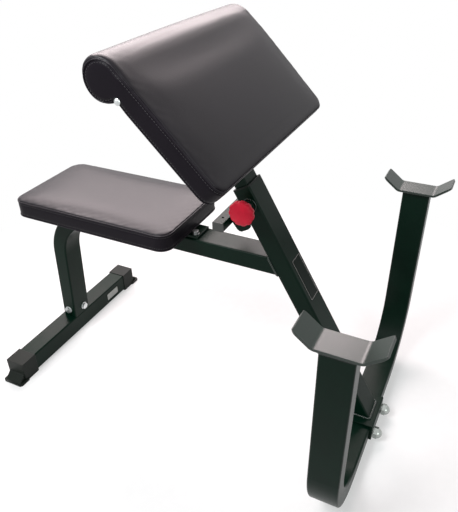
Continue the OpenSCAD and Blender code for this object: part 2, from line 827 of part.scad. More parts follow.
// Coil of round wire round the pin; its rings follow the helix.
module pin_spring() {
    turns = 5;
    steps = 12;
    wire = 0.45;
    mean = pin_r + 1.4;
    n = turns * steps;
    rise = spring_l - 2 * wire;
    slope = atan(rise / (turns * 2 * PI * mean));
    color("#c0c3c5") on_pin() translate([0, 0, spring_z + wire])
        skin([for (j = [0 : n]) let (a = 360 * j / steps, z = rise * j / n)
            [for (i = [0 : 5]) let (b = -60 * i, u = wire * cos(b), v = wire * sin(b))
                [(mean + u) * cos(a) + v * sin(slope) * sin(a),
                 (mean + u) * sin(a) - v * sin(slope) * cos(a),
                 z + v * cos(slope)]]]);
}

module pull_knob() {
    lobe = 6.5;
    depth = 21;
    color("#c8102e") on_pin() translate([0, 0, knob_at]) difference() {
        union() {
            cylinder(r = 12, h = 8);
            intersection() {
                translate([0, 0, 5]) union() {
                    cylinder(r = knob_r - 2.2, h = depth);
                    for (k = [0 : knob_lobes - 1]) rotate([0, 0, 360 * k / knob_lobes])
                        translate([knob_r - lobe, 0, 0]) cylinder(r = lobe, h = depth);
                }
                translate([0, 0, 26 - 38]) sphere(r = 38, $fn = 96);
                translate([0, 0, 5]) cylinder(r1 = knob_r - 4, r2 = knob_r + 30, h = 34);
            }
        }
        translate([0, 0, -1]) cylinder(r = pin_r + thread_gap, h = knob_bore + 1);
    }
}

rear_base_tube();
rear_foot_cap_left();
rear_foot_cap_right();
leg_spigot();
leg_and_seat_rail();
leg_bolts();
leg_washers();
leg_nuts();
front_post();
post_bushing();
saddle_foot();
bar_rack_tube();
rack_arm_plate_left();
rack_arm_plate_right();
bar_cradle_left();
bar_cradle_right();
saddle_bolts();
saddle_washers();
saddle_acorn_nuts();
rear_cross_tube();
cross_tube_brackets();
cross_tube_plugs();
seat_bracket_front();
seat_bracket_rear();
bracket_bolts();
bracket_rivet_nuts();
seat_board();
seat_bolts();
seat_cushion();
inner_post();
inner_post_glide();
inner_post_plug();
pad_gussets();
pad_mount_plate();
arm_pad_board();
arm_pad_bolts();
arm_pad_side_screws();
arm_pad_cushion();
pin_housing();
pull_pin();
pin_spring();
pull_knob();
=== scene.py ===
import math

import bpy
import numpy as np
from bpy.props import FloatProperty, FloatVectorProperty, IntProperty, PointerProperty
from mathutils import Matrix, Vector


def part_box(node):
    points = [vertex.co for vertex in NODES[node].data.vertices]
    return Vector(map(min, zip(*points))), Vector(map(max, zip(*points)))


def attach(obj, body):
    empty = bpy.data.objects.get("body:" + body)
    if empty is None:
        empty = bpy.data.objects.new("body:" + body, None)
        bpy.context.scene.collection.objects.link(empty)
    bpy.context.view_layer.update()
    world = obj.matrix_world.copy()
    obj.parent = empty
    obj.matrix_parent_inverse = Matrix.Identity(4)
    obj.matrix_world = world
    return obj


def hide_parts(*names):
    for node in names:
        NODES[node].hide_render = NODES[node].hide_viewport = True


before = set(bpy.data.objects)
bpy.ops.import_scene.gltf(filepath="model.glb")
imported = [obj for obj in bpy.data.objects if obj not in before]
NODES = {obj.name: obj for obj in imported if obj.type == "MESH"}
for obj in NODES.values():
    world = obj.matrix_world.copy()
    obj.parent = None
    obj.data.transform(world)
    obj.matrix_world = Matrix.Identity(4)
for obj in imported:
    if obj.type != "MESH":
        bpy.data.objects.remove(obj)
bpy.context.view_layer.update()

bl_info = {
    "name": "Preacher Curl Bench",
    "version": (1, 0, 0),
    "blender": (4, 5, 0),
    "location": "View3D > Sidebar > Bench",
    "description": "Dresses the bench frame with covers, seams, knob, welds and finishes",
    "category": "Object",
}

MM = 0.001

# The post's frame: local y runs rearward from its centre line, local z runs up its axis.
POST_FOOT = np.array([0.0, -0.395613, 0.046])
POST_UP = np.array([0.0, math.cos(math.radians(60)), math.sin(math.radians(60))])
POST_BACK = np.array([0.0, POST_UP[2], -POST_UP[1]])
# The arm pad's frame: local y runs up its slope, local z leaves its underside.
PAD_FOOT = POST_FOOT + 0.8307 * POST_UP - 0.0152 * POST_BACK
PAD_UP = np.array([0.0, math.sqrt(0.5), math.sqrt(0.5)])
PAD_OUT = np.array([0.0, -math.sqrt(0.5), math.sqrt(0.5)])
# The pull pin leaves the post's near side along -X.
PIN_FOOT = POST_FOOT + 0.5516 * POST_UP
X_AXIS = np.array([1.0, 0.0, 0.0])
TUBE_WIDE, TUBE_DEEP = 0.06, 0.04
RAIL_MIDDLE = 0.391     # height of the seat rail's axis
ARM_MIDDLE, ARM_TOP = 0.299, 0.4645
THREAD = 0.00042        # radius of a stitch
VOXEL = 0.004           # grid of the covers before they swell


# ---------------------------------------------------------------- settings

class CoverSettings(bpy.types.PropertyGroup):
    """Sizes and colours of the two sewn covers."""
    vinyl: FloatVectorProperty(name="Vinyl", description="Colour of the vinyl", subtype="COLOR",
                               default=(0.0078, 0.006, 0.009), min=0, max=1)
    thread: FloatVectorProperty(name="Thread", description="Colour of the stitches", subtype="COLOR",
                                default=(0.045, 0.043, 0.045), min=0, max=1)
    seat_crown: FloatProperty(name="Seat crown", description="Rise of the seat's top before it swells",
                              default=0.0055, subtype="DISTANCE", unit="LENGTH")
    seat_swell: FloatProperty(name="Seat swell", description="Most that the seat cover swells",
                              default=0.005, subtype="DISTANCE", unit="LENGTH")
    pad_crown: FloatProperty(name="Pad crown", description="Rise of the arm pad's face before it swells",
                             default=0.002, subtype="DISTANCE", unit="LENGTH")
    pad_swell: FloatProperty(name="Pad swell", description="Most that the arm pad's cover swells",
                             default=0.005, subtype="DISTANCE", unit="LENGTH")
    piping: FloatProperty(name="Piping", description="Radius of the welt in the seams",
                          default=0.0014, subtype="DISTANCE", unit="LENGTH")
    stitch: FloatProperty(name="Stitch pitch", description="Distance from stitch to stitch",
                          default=0.0052, subtype="DISTANCE", unit="LENGTH")


class KnobSettings(bpy.types.PropertyGroup):
    """Sizes and colour of the pull knob."""
    plastic: FloatVectorProperty(name="Plastic", description="Colour of the knob", subtype="COLOR",
                                 default=(0.62, 0.008, 0.034), min=0, max=1)
    radius: FloatProperty(name="Radius", description="Radius over the lobes", default=0.027,
                          subtype="DISTANCE", unit="LENGTH")
    lobes: IntProperty(name="Lobes", description="Number of lobes round the knob", default=11, min=5, max=16)
    valley: FloatProperty(name="Valley", description="Depth of the valleys between the lobes", default=0.0019,
                          subtype="DISTANCE", unit="LENGTH")


class CoatSettings(bpy.types.PropertyGroup):
    """Colours of the frame's paint and hardware."""
    coat: FloatVectorProperty(name="Coat", description="Colour of the powder coat", subtype="COLOR",
                              default=(0.0006, 0.0085, 0.0045), min=0, max=1)
    zinc: FloatVectorProperty(name="Zinc", description="Colour of the plated hardware", subtype="COLOR",
                              default=(0.66, 0.69, 0.69), min=0, max=1)
    plastic: FloatVectorProperty(name="Plastic", description="Colour of caps and bushing", subtype="COLOR",
                                 default=(0.006, 0.009, 0.0068), min=0, max=1)


class StudioSettings(bpy.types.PropertyGroup):
    """Place of the camera and strength of the lights."""
    camera: FloatVectorProperty(name="Camera", description="Place of the camera", subtype="TRANSLATION",
                                unit="LENGTH", default=(-0.9493, -0.5393, 1.0534))
    yaw: FloatProperty(name="Yaw", description="Turn of the view from +Y towards +X",
                       default=math.radians(62.9), subtype="ANGLE", unit="ROTATION")
    pitch: FloatProperty(name="Pitch", description="Tilt of the view from level", default=math.radians(-33.1),
                         subtype="ANGLE", unit="ROTATION")
    roll: FloatProperty(name="Roll", description="Turn of the view about its own axis",
                        default=math.radians(-1.3), subtype="ANGLE", unit="ROTATION")
    lens: FloatProperty(name="Lens", description="Focal length on a 36 mm frame height", default=39.91)
    top_light: FloatProperty(name="Top light", description="Power of the lamp above the camera's left",
                             default=40.0, unit="POWER")
    far_light: FloatProperty(name="Far light", description="Power of the lamp across from the camera",
                             default=108.0, unit="POWER")
    fill_light: FloatProperty(name="Fill light", description="Power of the lamp beside the camera",
                              default=20.0, unit="POWER")
    sky: FloatProperty(name="Sky", description="Strength of the even light all round", default=0.2)


SETTINGS = (("bench_covers", CoverSettings), ("bench_knob", KnobSettings),
            ("bench_coat", CoatSettings), ("bench_studio", StudioSettings))


# ---------------------------------------------------------------- meshes from arrays

def outward(points, faces):
    """The faces turned so that the closed shape's signed volume is positive.

    The volume is the sum of a . (b x c) / 6 over the triangles of every face's fan."""
    total = 0.0
    for block in faces:
        a = points[block[:, 0]]
        for k in range(1, block.shape[1] - 1):
            total += np.einsum("ij,ij->", a, np.cross(points[block[:, k]], points[block[:, k + 1]]))
    return [block[:, ::-1] for block in faces] if total < 0 else faces


def piece(name, points, faces, smooth=True):
    """A new object at the origin whose mesh holds the points and the blocks of faces."""
    mesh = bpy.data.meshes.new(name)
    mesh.from_pydata(points.tolist(), [], [f for block in outward(points, faces) for f in block.tolist()])
    if smooth:
        mesh.shade_smooth()
    mesh.update()
    obj = bpy.data.objects.new(name, mesh)
    bpy.context.scene.collection.objects.link(obj)
    return obj


def rows_to_faces(rings, closed=False):
    """Faces over an (m, n, 3) array of rings: quads between neighbours, and a fan to a hub at each open end."""
    m, n = rings.shape[:2]
    last = m if closed else m - 1
    row, col = np.meshgrid(np.arange(last), np.arange(n), indexing="ij")
    up, right = (row + 1) % m, (col + 1) % n
    quads = np.stack([row * n + col, row * n + right, up * n + right, up * n + col], -1).reshape(-1, 4)
    points = rings.reshape(-1, 3)
    if closed:
        return points, [quads]
    c = np.arange(n)
    low = np.stack([np.full(n, m * n), (c + 1) % n, c], -1)
    high = np.stack([np.full(n, m * n + 1), (m - 1) * n + c, (m - 1) * n + (c + 1) % n], -1)
    return np.vstack([points, rings[0].mean(0), rings[-1].mean(0)]), [quads, low, high]


def along(path, count, closed=False, extra=None):
    """A path resampled to evenly spaced points, by linear steps in arc length; extra columns go with it."""
    data = path if extra is None else np.hstack([path, extra])
    if closed:
        data = np.vstack([data, data[:1]])
    length = np.concatenate([[0], np.cumsum(np.linalg.norm(np.diff(data[:, :path.shape[1]], axis=0), axis=1))])
    at = np.linspace(0, length[-1], count, endpoint=not closed)
    return np.stack([np.interp(at, length, column) for column in data.T], -1)


def length_of(path, closed=False):
    """Length of a path of points."""
    ends = np.vstack([path, path[:1]]) if closed else path
    return float(np.linalg.norm(np.diff(ends, axis=0), axis=1).sum())


def tangents(path, closed):
    """Unit tangents: half the step from the point before to the point after."""
    if closed:
        step = np.roll(path, -1, 0) - np.roll(path, 1, 0)
    else:
        step = np.gradient(path, axis=0)
    return step / np.linalg.norm(step, axis=1, keepdims=True)


def axes_along(path, normals, closed):
    """Unit axes at each point of a path: t the tangent, n the normal less its part along t, and t x n."""
    t = tangents(path, closed)
    n = normals - np.einsum("ij,ij->i", normals, t)[:, None] * t
    n /= np.linalg.norm(n, axis=1, keepdims=True)
    return t, n, np.cross(t, n)


def carried(path, normals, profile, closed=True, scale=1.0):
    """A profile carried along a path: point = path + scale * (p * normal + q * (tangent x normal))."""
    _, n, b = axes_along(path, normals, closed)
    size = np.broadcast_to(np.asarray(scale, float), len(path))[:, None, None]
    rings = path[:, None] + size * (profile[None, :, :1] * n[:, None] + profile[None, :, 1:] * b[:, None])
    return rows_to_faces(rings, closed)


def circle(radius, sides):
    """Points of a circle: radius * (cos a, sin a)."""
    a = np.arange(sides) * 2 * math.pi / sides
    return radius * np.stack([np.cos(a), np.sin(a)], -1)


def joined(parts):
    """Several (points, faces) put into one, with their indices moved on."""
    points, faces, start = [], [], 0
    for p, blocks in parts:
        blocks = outward(p, blocks)
        points.append(p)
        faces += [block + start for block in blocks]
        start += len(p)
    return np.vstack(points), faces


def stitches(path, normals, pitch, closed):
    """A row of thread grains along a path.

    One grain is an ellipsoid of four rings, (L cos v, R sin v cos u, R sin v sin u), copied to every stitch
    as centre + x * tangent + y * normal + z * (tangent x normal)."""
    count = max(int(length_of(path, closed) / pitch), 2)
    both = along(path, count, closed, normals)
    centre = both[:, :3]
    t, n, b = axes_along(centre, both[:, 3:], closed)
    v = np.linspace(0.28, math.pi - 0.28, 4)
    u = np.arange(6) * math.pi / 3
    grain = np.stack(np.broadcast_arrays(0.36 * pitch * np.cos(v)[:, None],
                                         THREAD * np.sin(v)[:, None] * np.cos(u),
                                         THREAD * np.sin(v)[:, None] * np.sin(u)), -1)
    points, faces = rows_to_faces(grain)
    faces = outward(points, faces)
    cloud = centre[:, None] + points[None, :, :1] * t[:, None] + points[None, :, 1:2] * n[:, None] \
        + points[None, :, 2:] * b[:, None]
    shift = (np.arange(count) * len(points))[:, None, None]
    return cloud.reshape(-1, 3), [(block[None] + shift).reshape(-1, block.shape[1]) for block in faces]


def in_frame(points, foot, x, y, z):
    """Local points put into the row frame: foot + px * x + py * y + pz * z."""
    return foot + points[..., :1] * x + points[..., 1:2] * y + points[..., 2:] * z


def on_pad(points):
    """Points of the arm pad's own frame in the row frame."""
    return in_frame(np.asarray(points, float), PAD_FOOT, X_AXIS, PAD_UP, PAD_OUT)


def on_post(points):
    """Points of the post's own frame (across, rearward, up) in the row frame."""
    return in_frame(np.asarray(points, float), POST_FOOT, X_AXIS, POST_BACK, POST_UP)


def coordinates(mesh):
    """All vertex positions of a mesh as an array."""
    co = np.empty(len(mesh.vertices) * 3, np.float64)
    mesh.vertices.foreach_get("co", co)
    return co.reshape(-1, 3)


def set_coordinates(mesh, co):
    """Writes an array of vertex positions into a mesh."""
    mesh.vertices.foreach_set("co", np.ascontiguousarray(co, np.float64).ravel())
    mesh.update()


def vertex_normals(mesh):
    """All vertex normals of a mesh as an array."""
    flat = np.empty(len(mesh.vertices) * 3, np.float32)
    mesh.vertex_normals.foreach_get("vector", flat)
    return flat.reshape(-1, 3).astype(float)


def settle(obj):
    """Makes what the object's modifiers show its own mesh."""
    bpy.context.view_layer.update()
    graph = bpy.context.evaluated_depsgraph_get()
    mesh = bpy.data.meshes.new_from_object(obj.evaluated_get(graph))
    old = obj.data
    obj.modifiers.clear()
    obj.data = mesh
    bpy.data.meshes.remove(old)
    mesh.shade_smooth()


def remeshed(obj):
    """Gives a closed piece even quads of one voxel's size."""
    grid = obj.modifiers.new("even", "REMESH")
    grid.mode, grid.voxel_size, grid.use_smooth_shade = "VOXEL", VOXEL, True
    settle(obj)


def calmed(mesh, way, held, rounds):
    """Moves of a mesh's points, evened: each round a move becomes half itself and half its neighbours' mean.

    Held points stay where they are."""
    ends = np.empty(len(mesh.edges) * 2, np.int64)
    mesh.edges.foreach_get("vertices", ends)
    a, b = ends.reshape(-1, 2).T
    count = np.bincount(np.concatenate([a, b]), minlength=len(way))[:, None]
    way = np.where(held[:, None], 0.0, way)
    for _ in range(rounds):
        total = np.stack([np.bincount(a, way[b, k], len(way)) + np.bincount(b, way[a, k], len(way))
                          for k in range(3)], -1)
        way = np.where(held[:, None], 0.0, 0.5 * way + 0.5 * total / count)
    return way


def swell(obj, held, limit, calm, frames=20):
    """Blows a cover up as cloth over its foam, holding its seams, and evens its moves a little.

    Each point ends at rest + way * limit * tanh(|way| / limit) / |way|, so no way is longer than limit."""
    rest = coordinates(obj.data)
    group = obj.vertex_groups.new(name="held")
    group.add(np.flatnonzero(held).tolist(), 1.0, "REPLACE")
    cloth = obj.modifiers.new("cloth", "CLOTH")
    cloth.settings.quality = 5
    cloth.settings.mass = 0.3
    cloth.settings.tension_stiffness = cloth.settings.compression_stiffness = 15
    cloth.settings.bending_stiffness = 0.5
    cloth.settings.use_pressure = True
    cloth.settings.uniform_pressure_force = 4
    cloth.settings.effector_weights.gravity = 0
    cloth.settings.vertex_group_mass = "held"
    cloth.collision_settings.use_collision = False
    cloth.point_cache.frame_start, cloth.point_cache.frame_end = 1, frames
    scene = bpy.context.scene
    for number in range(1, frames + 1):
        scene.frame_set(number)
    graph = bpy.context.evaluated_depsgraph_get()
    moved = coordinates(obj.evaluated_get(graph).data)
    obj.modifiers.clear()
    obj.vertex_groups.clear()
    scene.frame_set(1)
    if moved.shape != rest.shape or not np.isfinite(moved).all():
        raise RuntimeError("the cloth of " + obj.name + " came out broken")
    way = calmed(obj.data, moved - rest, held, calm)
    size = np.linalg.norm(way, axis=1, keepdims=True) + 1e-12
    limit = np.asarray(limit, float).reshape(-1, 1)
    set_coordinates(obj.data, rest + way / size * limit * np.tanh(size / limit))


def smoothed(obj):
    """Evens the surface a little, then divides it once."""
    even = obj.modifiers.new("even", "SMOOTH")
    even.factor, even.iterations = 0.5, 1
    fine = obj.modifiers.new("fine", "SUBSURF")
    fine.levels = fine.render_levels = 1
    settle(obj)


def evened(values, closed, width=11):
    """A running mean of some rows along a path."""
    ends = np.pad(values, ((width // 2, width // 2), (0, 0)), mode="wrap" if closed else "edge")
    total = np.cumsum(np.vstack([np.zeros((1, values.shape[1])), ends]), axis=0)
    return (total[width:] - total[:-width]) / width


def distance_to(path, co, reach):
    """Distance of each point of co to the nearest point of a path, where it is under reach, else reach.

    Points far from every eighth point of the path are left out first."""
    far = np.full(len(co), reach)
    spacing = 8 * np.linalg.norm(np.diff(path, axis=0), axis=1).max()
    for start in range(0, len(co), 20000):
        part = slice(start, start + 20000)
        rough = np.sqrt(((co[part, None] - path[None, ::8]) ** 2).sum(-1).min(1))
        near = start + np.flatnonzero(rough < reach + spacing)
        for k in range(0, len(near), 2000):
            some = near[k:k + 2000]
            far[some] = np.minimum(reach, np.sqrt(((co[some, None] - path[None]) ** 2).sum(-1).min(1)))
    return far


def laid_on(cover, path, closed, reach=0.016):
    """A path laid on a cover, with the cover's normals along it.

    Each point p moves by -(p - q) . m along the normal m of the nearest cover point q; the moves and the
    normals are evened along the path."""
    co, facing = coordinates(cover.data), vertex_normals(cover.data)
    close = distance_to(path, co, reach) < reach
    co, facing = co[close], facing[close]
    nearest = np.concatenate([((path[k:k + 100, None] - co[None]) ** 2).sum(-1).argmin(1)
                              for k in range(0, len(path), 100)])
    q, m = co[nearest], facing[nearest]
    move = -((path - q) * m).sum(1, keepdims=True) * m
    if np.abs(move).max() > reach:
        raise RuntimeError("a seam lies off " + cover.name)
    m = evened(m, closed)
    return path + evened(move, closed), m / np.linalg.norm(m, axis=1, keepdims=True)


def sewn(cover, path, closed, deep, wide):
    """Draws a cover in along a path by deep * exp(-(d / wide)^2), d the distance from the path."""
    co = coordinates(cover.data)
    d = distance_to(path, co, 3 * wide)
    set_coordinates(cover.data, co - (deep * np.exp(-(d / wide) ** 2))[:, None] * vertex_normals(cover.data))


# depth and width of the grooves along two welt seams and two stitch rows
GROOVES = ((0.0009, 0.0022), (0.0009, 0.0022), (0.0007, 0.0016), (0.0006, 0.0016))


def channels(cover, paths, closed):
    """Lays two welt seams and two stitch rows on a cover and draws it in along them, as GROOVES says."""
    seams = [laid_on(cover, path, closed) for path in paths]
    for (path, _), (deep, wide) in zip(seams, GROOVES):
        sewn(cover, path, closed, deep, wide)
    return seams


def trimmed(cover, seams, closed, body, node):
    """Finishes a cover that stands for a node: vinyl, a welt in its first two seams, stitches in the others."""
    s = bpy.context.scene.bench_covers
    dress(cover, body, finish("vinyl"), [node])
    name = cover.name.replace("_cover", "")
    welts = joined([carried(*seam, circle(size, 10), closed)
                    for seam, size in zip(seams, (s.piping, s.piping * 0.9))])
    dress(piece(name + "_piping", *welts), body, finish("piping"))
    rows = joined([stitches(path - 0.0004 * up, up, s.stitch, closed) for path, up in seams[2:]])
    dress(piece(name + "_stitches", *rows), body, finish("thread"))


def dress(obj, body, finish, stands_for=()):
    """Attaches a new piece to the body it rides on, gives it its material and hides the nodes it stands for."""
    obj.data.materials.clear()
    obj.data.materials.append(finish)
    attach(obj, body)
    if stands_for:
        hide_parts(*stands_for)
    return obj


# ---------------------------------------------------------------- finishes

class Wire:
    """A shader socket; arithmetic on it adds Math nodes."""

    def __init__(self, finish, socket):
        self.finish, self.socket = finish, socket

    def _math(self, operation, *terms, clamp=False):
        node = self.finish.add("ShaderNodeMath", {"operation": operation, "use_clamp": clamp},
                               dict(enumerate(terms)))
        return Wire(self.finish, node.outputs[0])

    def __add__(self, other): return self._math("ADD", self, other)
    def __radd__(self, other): return self._math("ADD", other, self)
    def __sub__(self, other): return self._math("SUBTRACT", self, other)
    def __rsub__(self, other): return self._math("SUBTRACT", other, self)
    def __mul__(self, other): return self._math("MULTIPLY", self, other)
    def __rmul__(self, other): return self._math("MULTIPLY", other, self)
    def clamped(self): return self._math("ADD", self, 0.0, clamp=True)
    def above(self, low, high): return ((self - low) * (1.0 / (high - low))).clamped()
    def fraction(self): return self._math("FRACT", self)


class Finish:
    """One material: a Principled shader and the nodes that feed it, all on Object coordinates."""

    def __init__(self, name, **constants):
        self.material = bpy.data.materials.new(name)
        self.material.use_nodes = True
        self.tree = self.material.node_tree
        self.tree.nodes.clear()
        self.shader = self.add("ShaderNodeBsdfPrincipled", {}, constants)
        self.add("ShaderNodeOutputMaterial", {}, {"Surface": Wire(self, self.shader.outputs["BSDF"])})
        self.place = Wire(self, self.add("ShaderNodeTexCoord").outputs["Object"])

    def add(self, kind, settings=None, inputs=None):
        """Any node: its settings come first, then the values or links of its sockets."""
        node = self.tree.nodes.new(kind)
        for key, value in (settings or {}).items():
            setattr(node, key, value)
        for key, value in (inputs or {}).items():
            socket = node.inputs[key]
            if isinstance(value, Wire):
                self.tree.links.new(value.socket, socket)
            elif socket.type == "RGBA" and len(value) == 3:
                socket.default_value = (*value, 1.0)
            else:
                socket.default_value = value
        return node

    def feed(self, **inputs):
        """Links or sets sockets of the shader; underscores stand for blanks."""
        for key, value in inputs.items():
            socket = self.shader.inputs[key.replace("_", " ")]
            if isinstance(value, Wire):
                self.tree.links.new(value.socket, socket)
            else:
                socket.default_value = (*value, 1.0) if socket.type == "RGBA" else value
        return self.material

    def placed(self, scale, turn=(0, 0, 0)):
        """Object coordinates, turned and stretched."""
        node = self.add("ShaderNodeMapping", {}, {"Vector": self.place, "Scale": scale, "Rotation": turn})
        return Wire(self, node.outputs[0])

    def noise(self, scale, detail=2.0, roughness=0.5, on=None):
        """Cloud noise from 0 to 1."""
        node = self.add("ShaderNodeTexNoise", {}, {"Vector": on or self.place, "Scale": scale, "Detail": detail,
                                                   "Roughness": roughness})
        return Wire(self, node.outputs["Fac"])

    def cells(self, scale):
        """Distance to the nearest of scattered points, from 0 to about 1."""
        node = self.add("ShaderNodeTexVoronoi", {"feature": "SMOOTH_F1"},
                        {"Vector": self.place, "Scale": scale})
        return Wire(self, node.outputs["Distance"])

    def blend(self, share, a, b):
        """Colour a where share is 0, colour b where it is 1."""
        node = self.add("ShaderNodeMix", {"data_type": "RGBA"}, {0: share, 6: a, 7: b})
        return Wire(self, node.outputs[2])

    def rounded(self, radius):
        """The normal as if the edges were rounded, and how much it turns there, from 0 to 1."""
        soft = Wire(self, self.add("ShaderNodeBevel", {"samples": 6}, {"Radius": radius}).outputs[0])
        plain = Wire(self, self.add("ShaderNodeNewGeometry").outputs["Normal"])
        dot = self.add("ShaderNodeVectorMath", {"operation": "DOT_PRODUCT"}, {0: soft, 1: plain})
        return soft, (1.0 - Wire(self, dot.outputs["Value"])).above(0.004, 0.12)

    def bump(self, height, distance, strength, normal=None):
        """A height turned into a normal; distance is in metres."""
        inputs = {"Height": height, "Distance": distance, "Strength": strength}
        if normal is not None:
            inputs["Normal"] = normal
        return Wire(self, self.add("ShaderNodeBump", {}, inputs).outputs[0])


def powder_coat(colour, name="powder coat", gloss=0.25, sheen=0.1):
    """Black powder coat: fine orange peel, patches of sheen, and edges rubbed a little paler."""
    f = Finish(name, **{"Specular IOR Level": sheen})
    peel = f.noise(520, 1.5)
    patch = f.noise(11, 3, 0.6)
    fine = f.noise(2600, 1)
    soft, edge = f.rounded(0.0014)
    rub = (edge * f.noise(60, 3).above(0.4, 0.8) * 0.5).clamped()
    tone = f.blend(patch.above(0.3, 0.7), colour, tuple(1.4 * c for c in colour))
    tone = f.blend(rub, tone, (0.04, 0.042, 0.04))
    return f.feed(Base_Color=tone,
                  Roughness=gloss + 0.1 * patch + 0.08 * peel,
                  Normal=f.bump(peel + 0.3 * fine, 0.00016, 0.5, soft))


def bright_zinc(colour, name="bright zinc", gloss=0.2):
    """Plated steel: cloudy gloss with fine scratches."""
    f = Finish(name, Metallic=1.0)
    cloud = f.noise(90, 3, 0.6)
    scratch = f.noise(700, 2, on=f.placed((1, 1, 0.12), (0.5, 0.3, 0)))
    soft, edge = f.rounded(0.0008)
    tone = f.blend(cloud.above(0.3, 0.7), tuple(0.78 * c for c in colour), colour)
    tone = f.blend(edge * 0.5, tone, (0.8, 0.82, 0.82))
    return f.feed(Base_Color=tone, Roughness=gloss + 0.16 * cloud + 0.06 * scratch,
                  Normal=f.bump(scratch, 0.00005, 0.5, soft))


def turned_steel(name="turned steel"):
    """Bare steel with fine turning rings across X."""
    f = Finish(name, Metallic=1.0)
    rings = f.noise(3200, 1, on=f.placed((1, 0.02, 0.02)))
    cloud = f.noise(140, 2)
    return f.feed(Base_Color=f.blend(cloud, (0.42, 0.43, 0.44), (0.56, 0.57, 0.58)),
                  Roughness=0.24 + 0.2 * rings, Normal=f.bump(rings, 0.00006, 0.6))


def vinyl(colour, name="vinyl"):
    """Upholstery vinyl: small pressed grain of two sizes, slow changes of sheen, faint rubbed patches.

    The panels that are leant on are polished by use: their coat grows with the upward part of the normal."""
    f = Finish(name, **{"Specular IOR Level": 0.08, "Coat Roughness": 0.36})
    facing = f.add("ShaderNodeTexCoord").outputs["Normal"]
    upward = Wire(f, f.add("ShaderNodeSeparateXYZ", {}, {"Vector": Wire(f, facing)}).outputs["Z"])
    grain = f.cells(1150)
    small = f.cells(2300)
    slow = f.noise(7, 3, 0.55)
    soil = f.noise(38, 4, 0.6)
    tone = f.blend(slow.above(0.3, 0.72), tuple(0.82 * c for c in colour), tuple(1.22 * c for c in colour))
    tone = f.blend(soil.above(0.55, 0.8) * 0.25, tone, tuple(1.7 * c for c in colour))
    height = grain * 0.7 + small * 0.3 + 0.5 * f.noise(240, 2)
    return f.feed(Base_Color=tone, Roughness=0.33 + 0.1 * slow + 0.07 * soil,
                  Coat_Weight=upward.above(0.2, 0.6) * 0.32, Normal=f.bump(height, 0.00022, 0.55))


def sewn_thread(colour, name="thread"):
    """Bonded thread, with its twist as fine noise."""
    f = Finish(name)
    twist = f.noise(2600, 2)
    return f.feed(Base_Color=f.blend(twist, tuple(0.6 * c for c in colour), tuple(1.4 * c for c in colour)),
                  Roughness=0.45 + 0.2 * twist, Normal=f.bump(twist, 0.0001, 0.6))


def moulded(colour, name, rough=0.42, texture=0.00012, sheen=0.5):
    """Moulded plastic: fine spark texture, slight mottling, edges a little scuffed."""
    f = Finish(name, **{"Specular IOR Level": sheen})
    spark = f.noise(1900, 2)
    mottle = f.noise(26, 3, 0.6)
    soft, edge = f.rounded(0.001)
    tone = f.blend(mottle.above(0.3, 0.7), tuple(0.86 * c for c in colour), tuple(1.16 * c for c in colour))
    tone = f.blend(edge * 0.35 * mottle.above(0.4, 0.6), tone, tuple(min(1.6 * c + 0.02, 1) for c in colour))
    return f.feed(Base_Color=tone, Roughness=rough + 0.12 * mottle + 0.06 * spark,
                  Normal=f.bump(spark, texture, 0.5, soft))


def plywood(turn, name):
    """Raw plywood: long grain, pores, and plies as bands through its thickness; turn lays the plies flat."""
    f = Finish(name)
    flat = f.placed((1, 1, 1), (turn, 0, 0))
    parts = f.add("ShaderNodeSeparateXYZ", {}, {"Vector": flat})
    height = Wire(f, parts.outputs["Z"])
    grain = f.noise(90, 4, 0.6, on=f.placed((1, 0.08, 1), (turn, 0, 0)))
    pores = f.noise(900, 2, on=f.placed((1, 0.04, 1), (turn, 0, 0)))
    ply = (height * (1 / 0.0031)).fraction().above(0.42, 0.58)
    tone = f.blend(grain.above(0.35, 0.7), (0.46, 0.32, 0.18), (0.33, 0.21, 0.11))
    tone = f.blend(ply * 0.5, tone, (0.22, 0.13, 0.07))
    tone = f.blend(pores.above(0.62, 0.75) * 0.6, tone, (0.16, 0.09, 0.05))
    return f.feed(Base_Color=tone, Roughness=0.6 + 0.2 * grain, Normal=f.bump(grain + pores, 0.0002, 0.4))


def printed_film(colour, name, rough=0.35, sheen=0.5):
    """Blank label film: even colour with a faint speckle."""
    f = Finish(name, **{"Specular IOR Level": sheen})
    speck = f.noise(1500, 2)
    stain = f.noise(70, 3)
    return f.feed(Base_Color=f.blend(stain.above(0.4, 0.8) * 0.4, colour, tuple(0.8 * c for c in colour)),
                  Roughness=rough + 0.1 * speck, Normal=f.bump(speck, 0.00003, 0.3))


MADE = {}


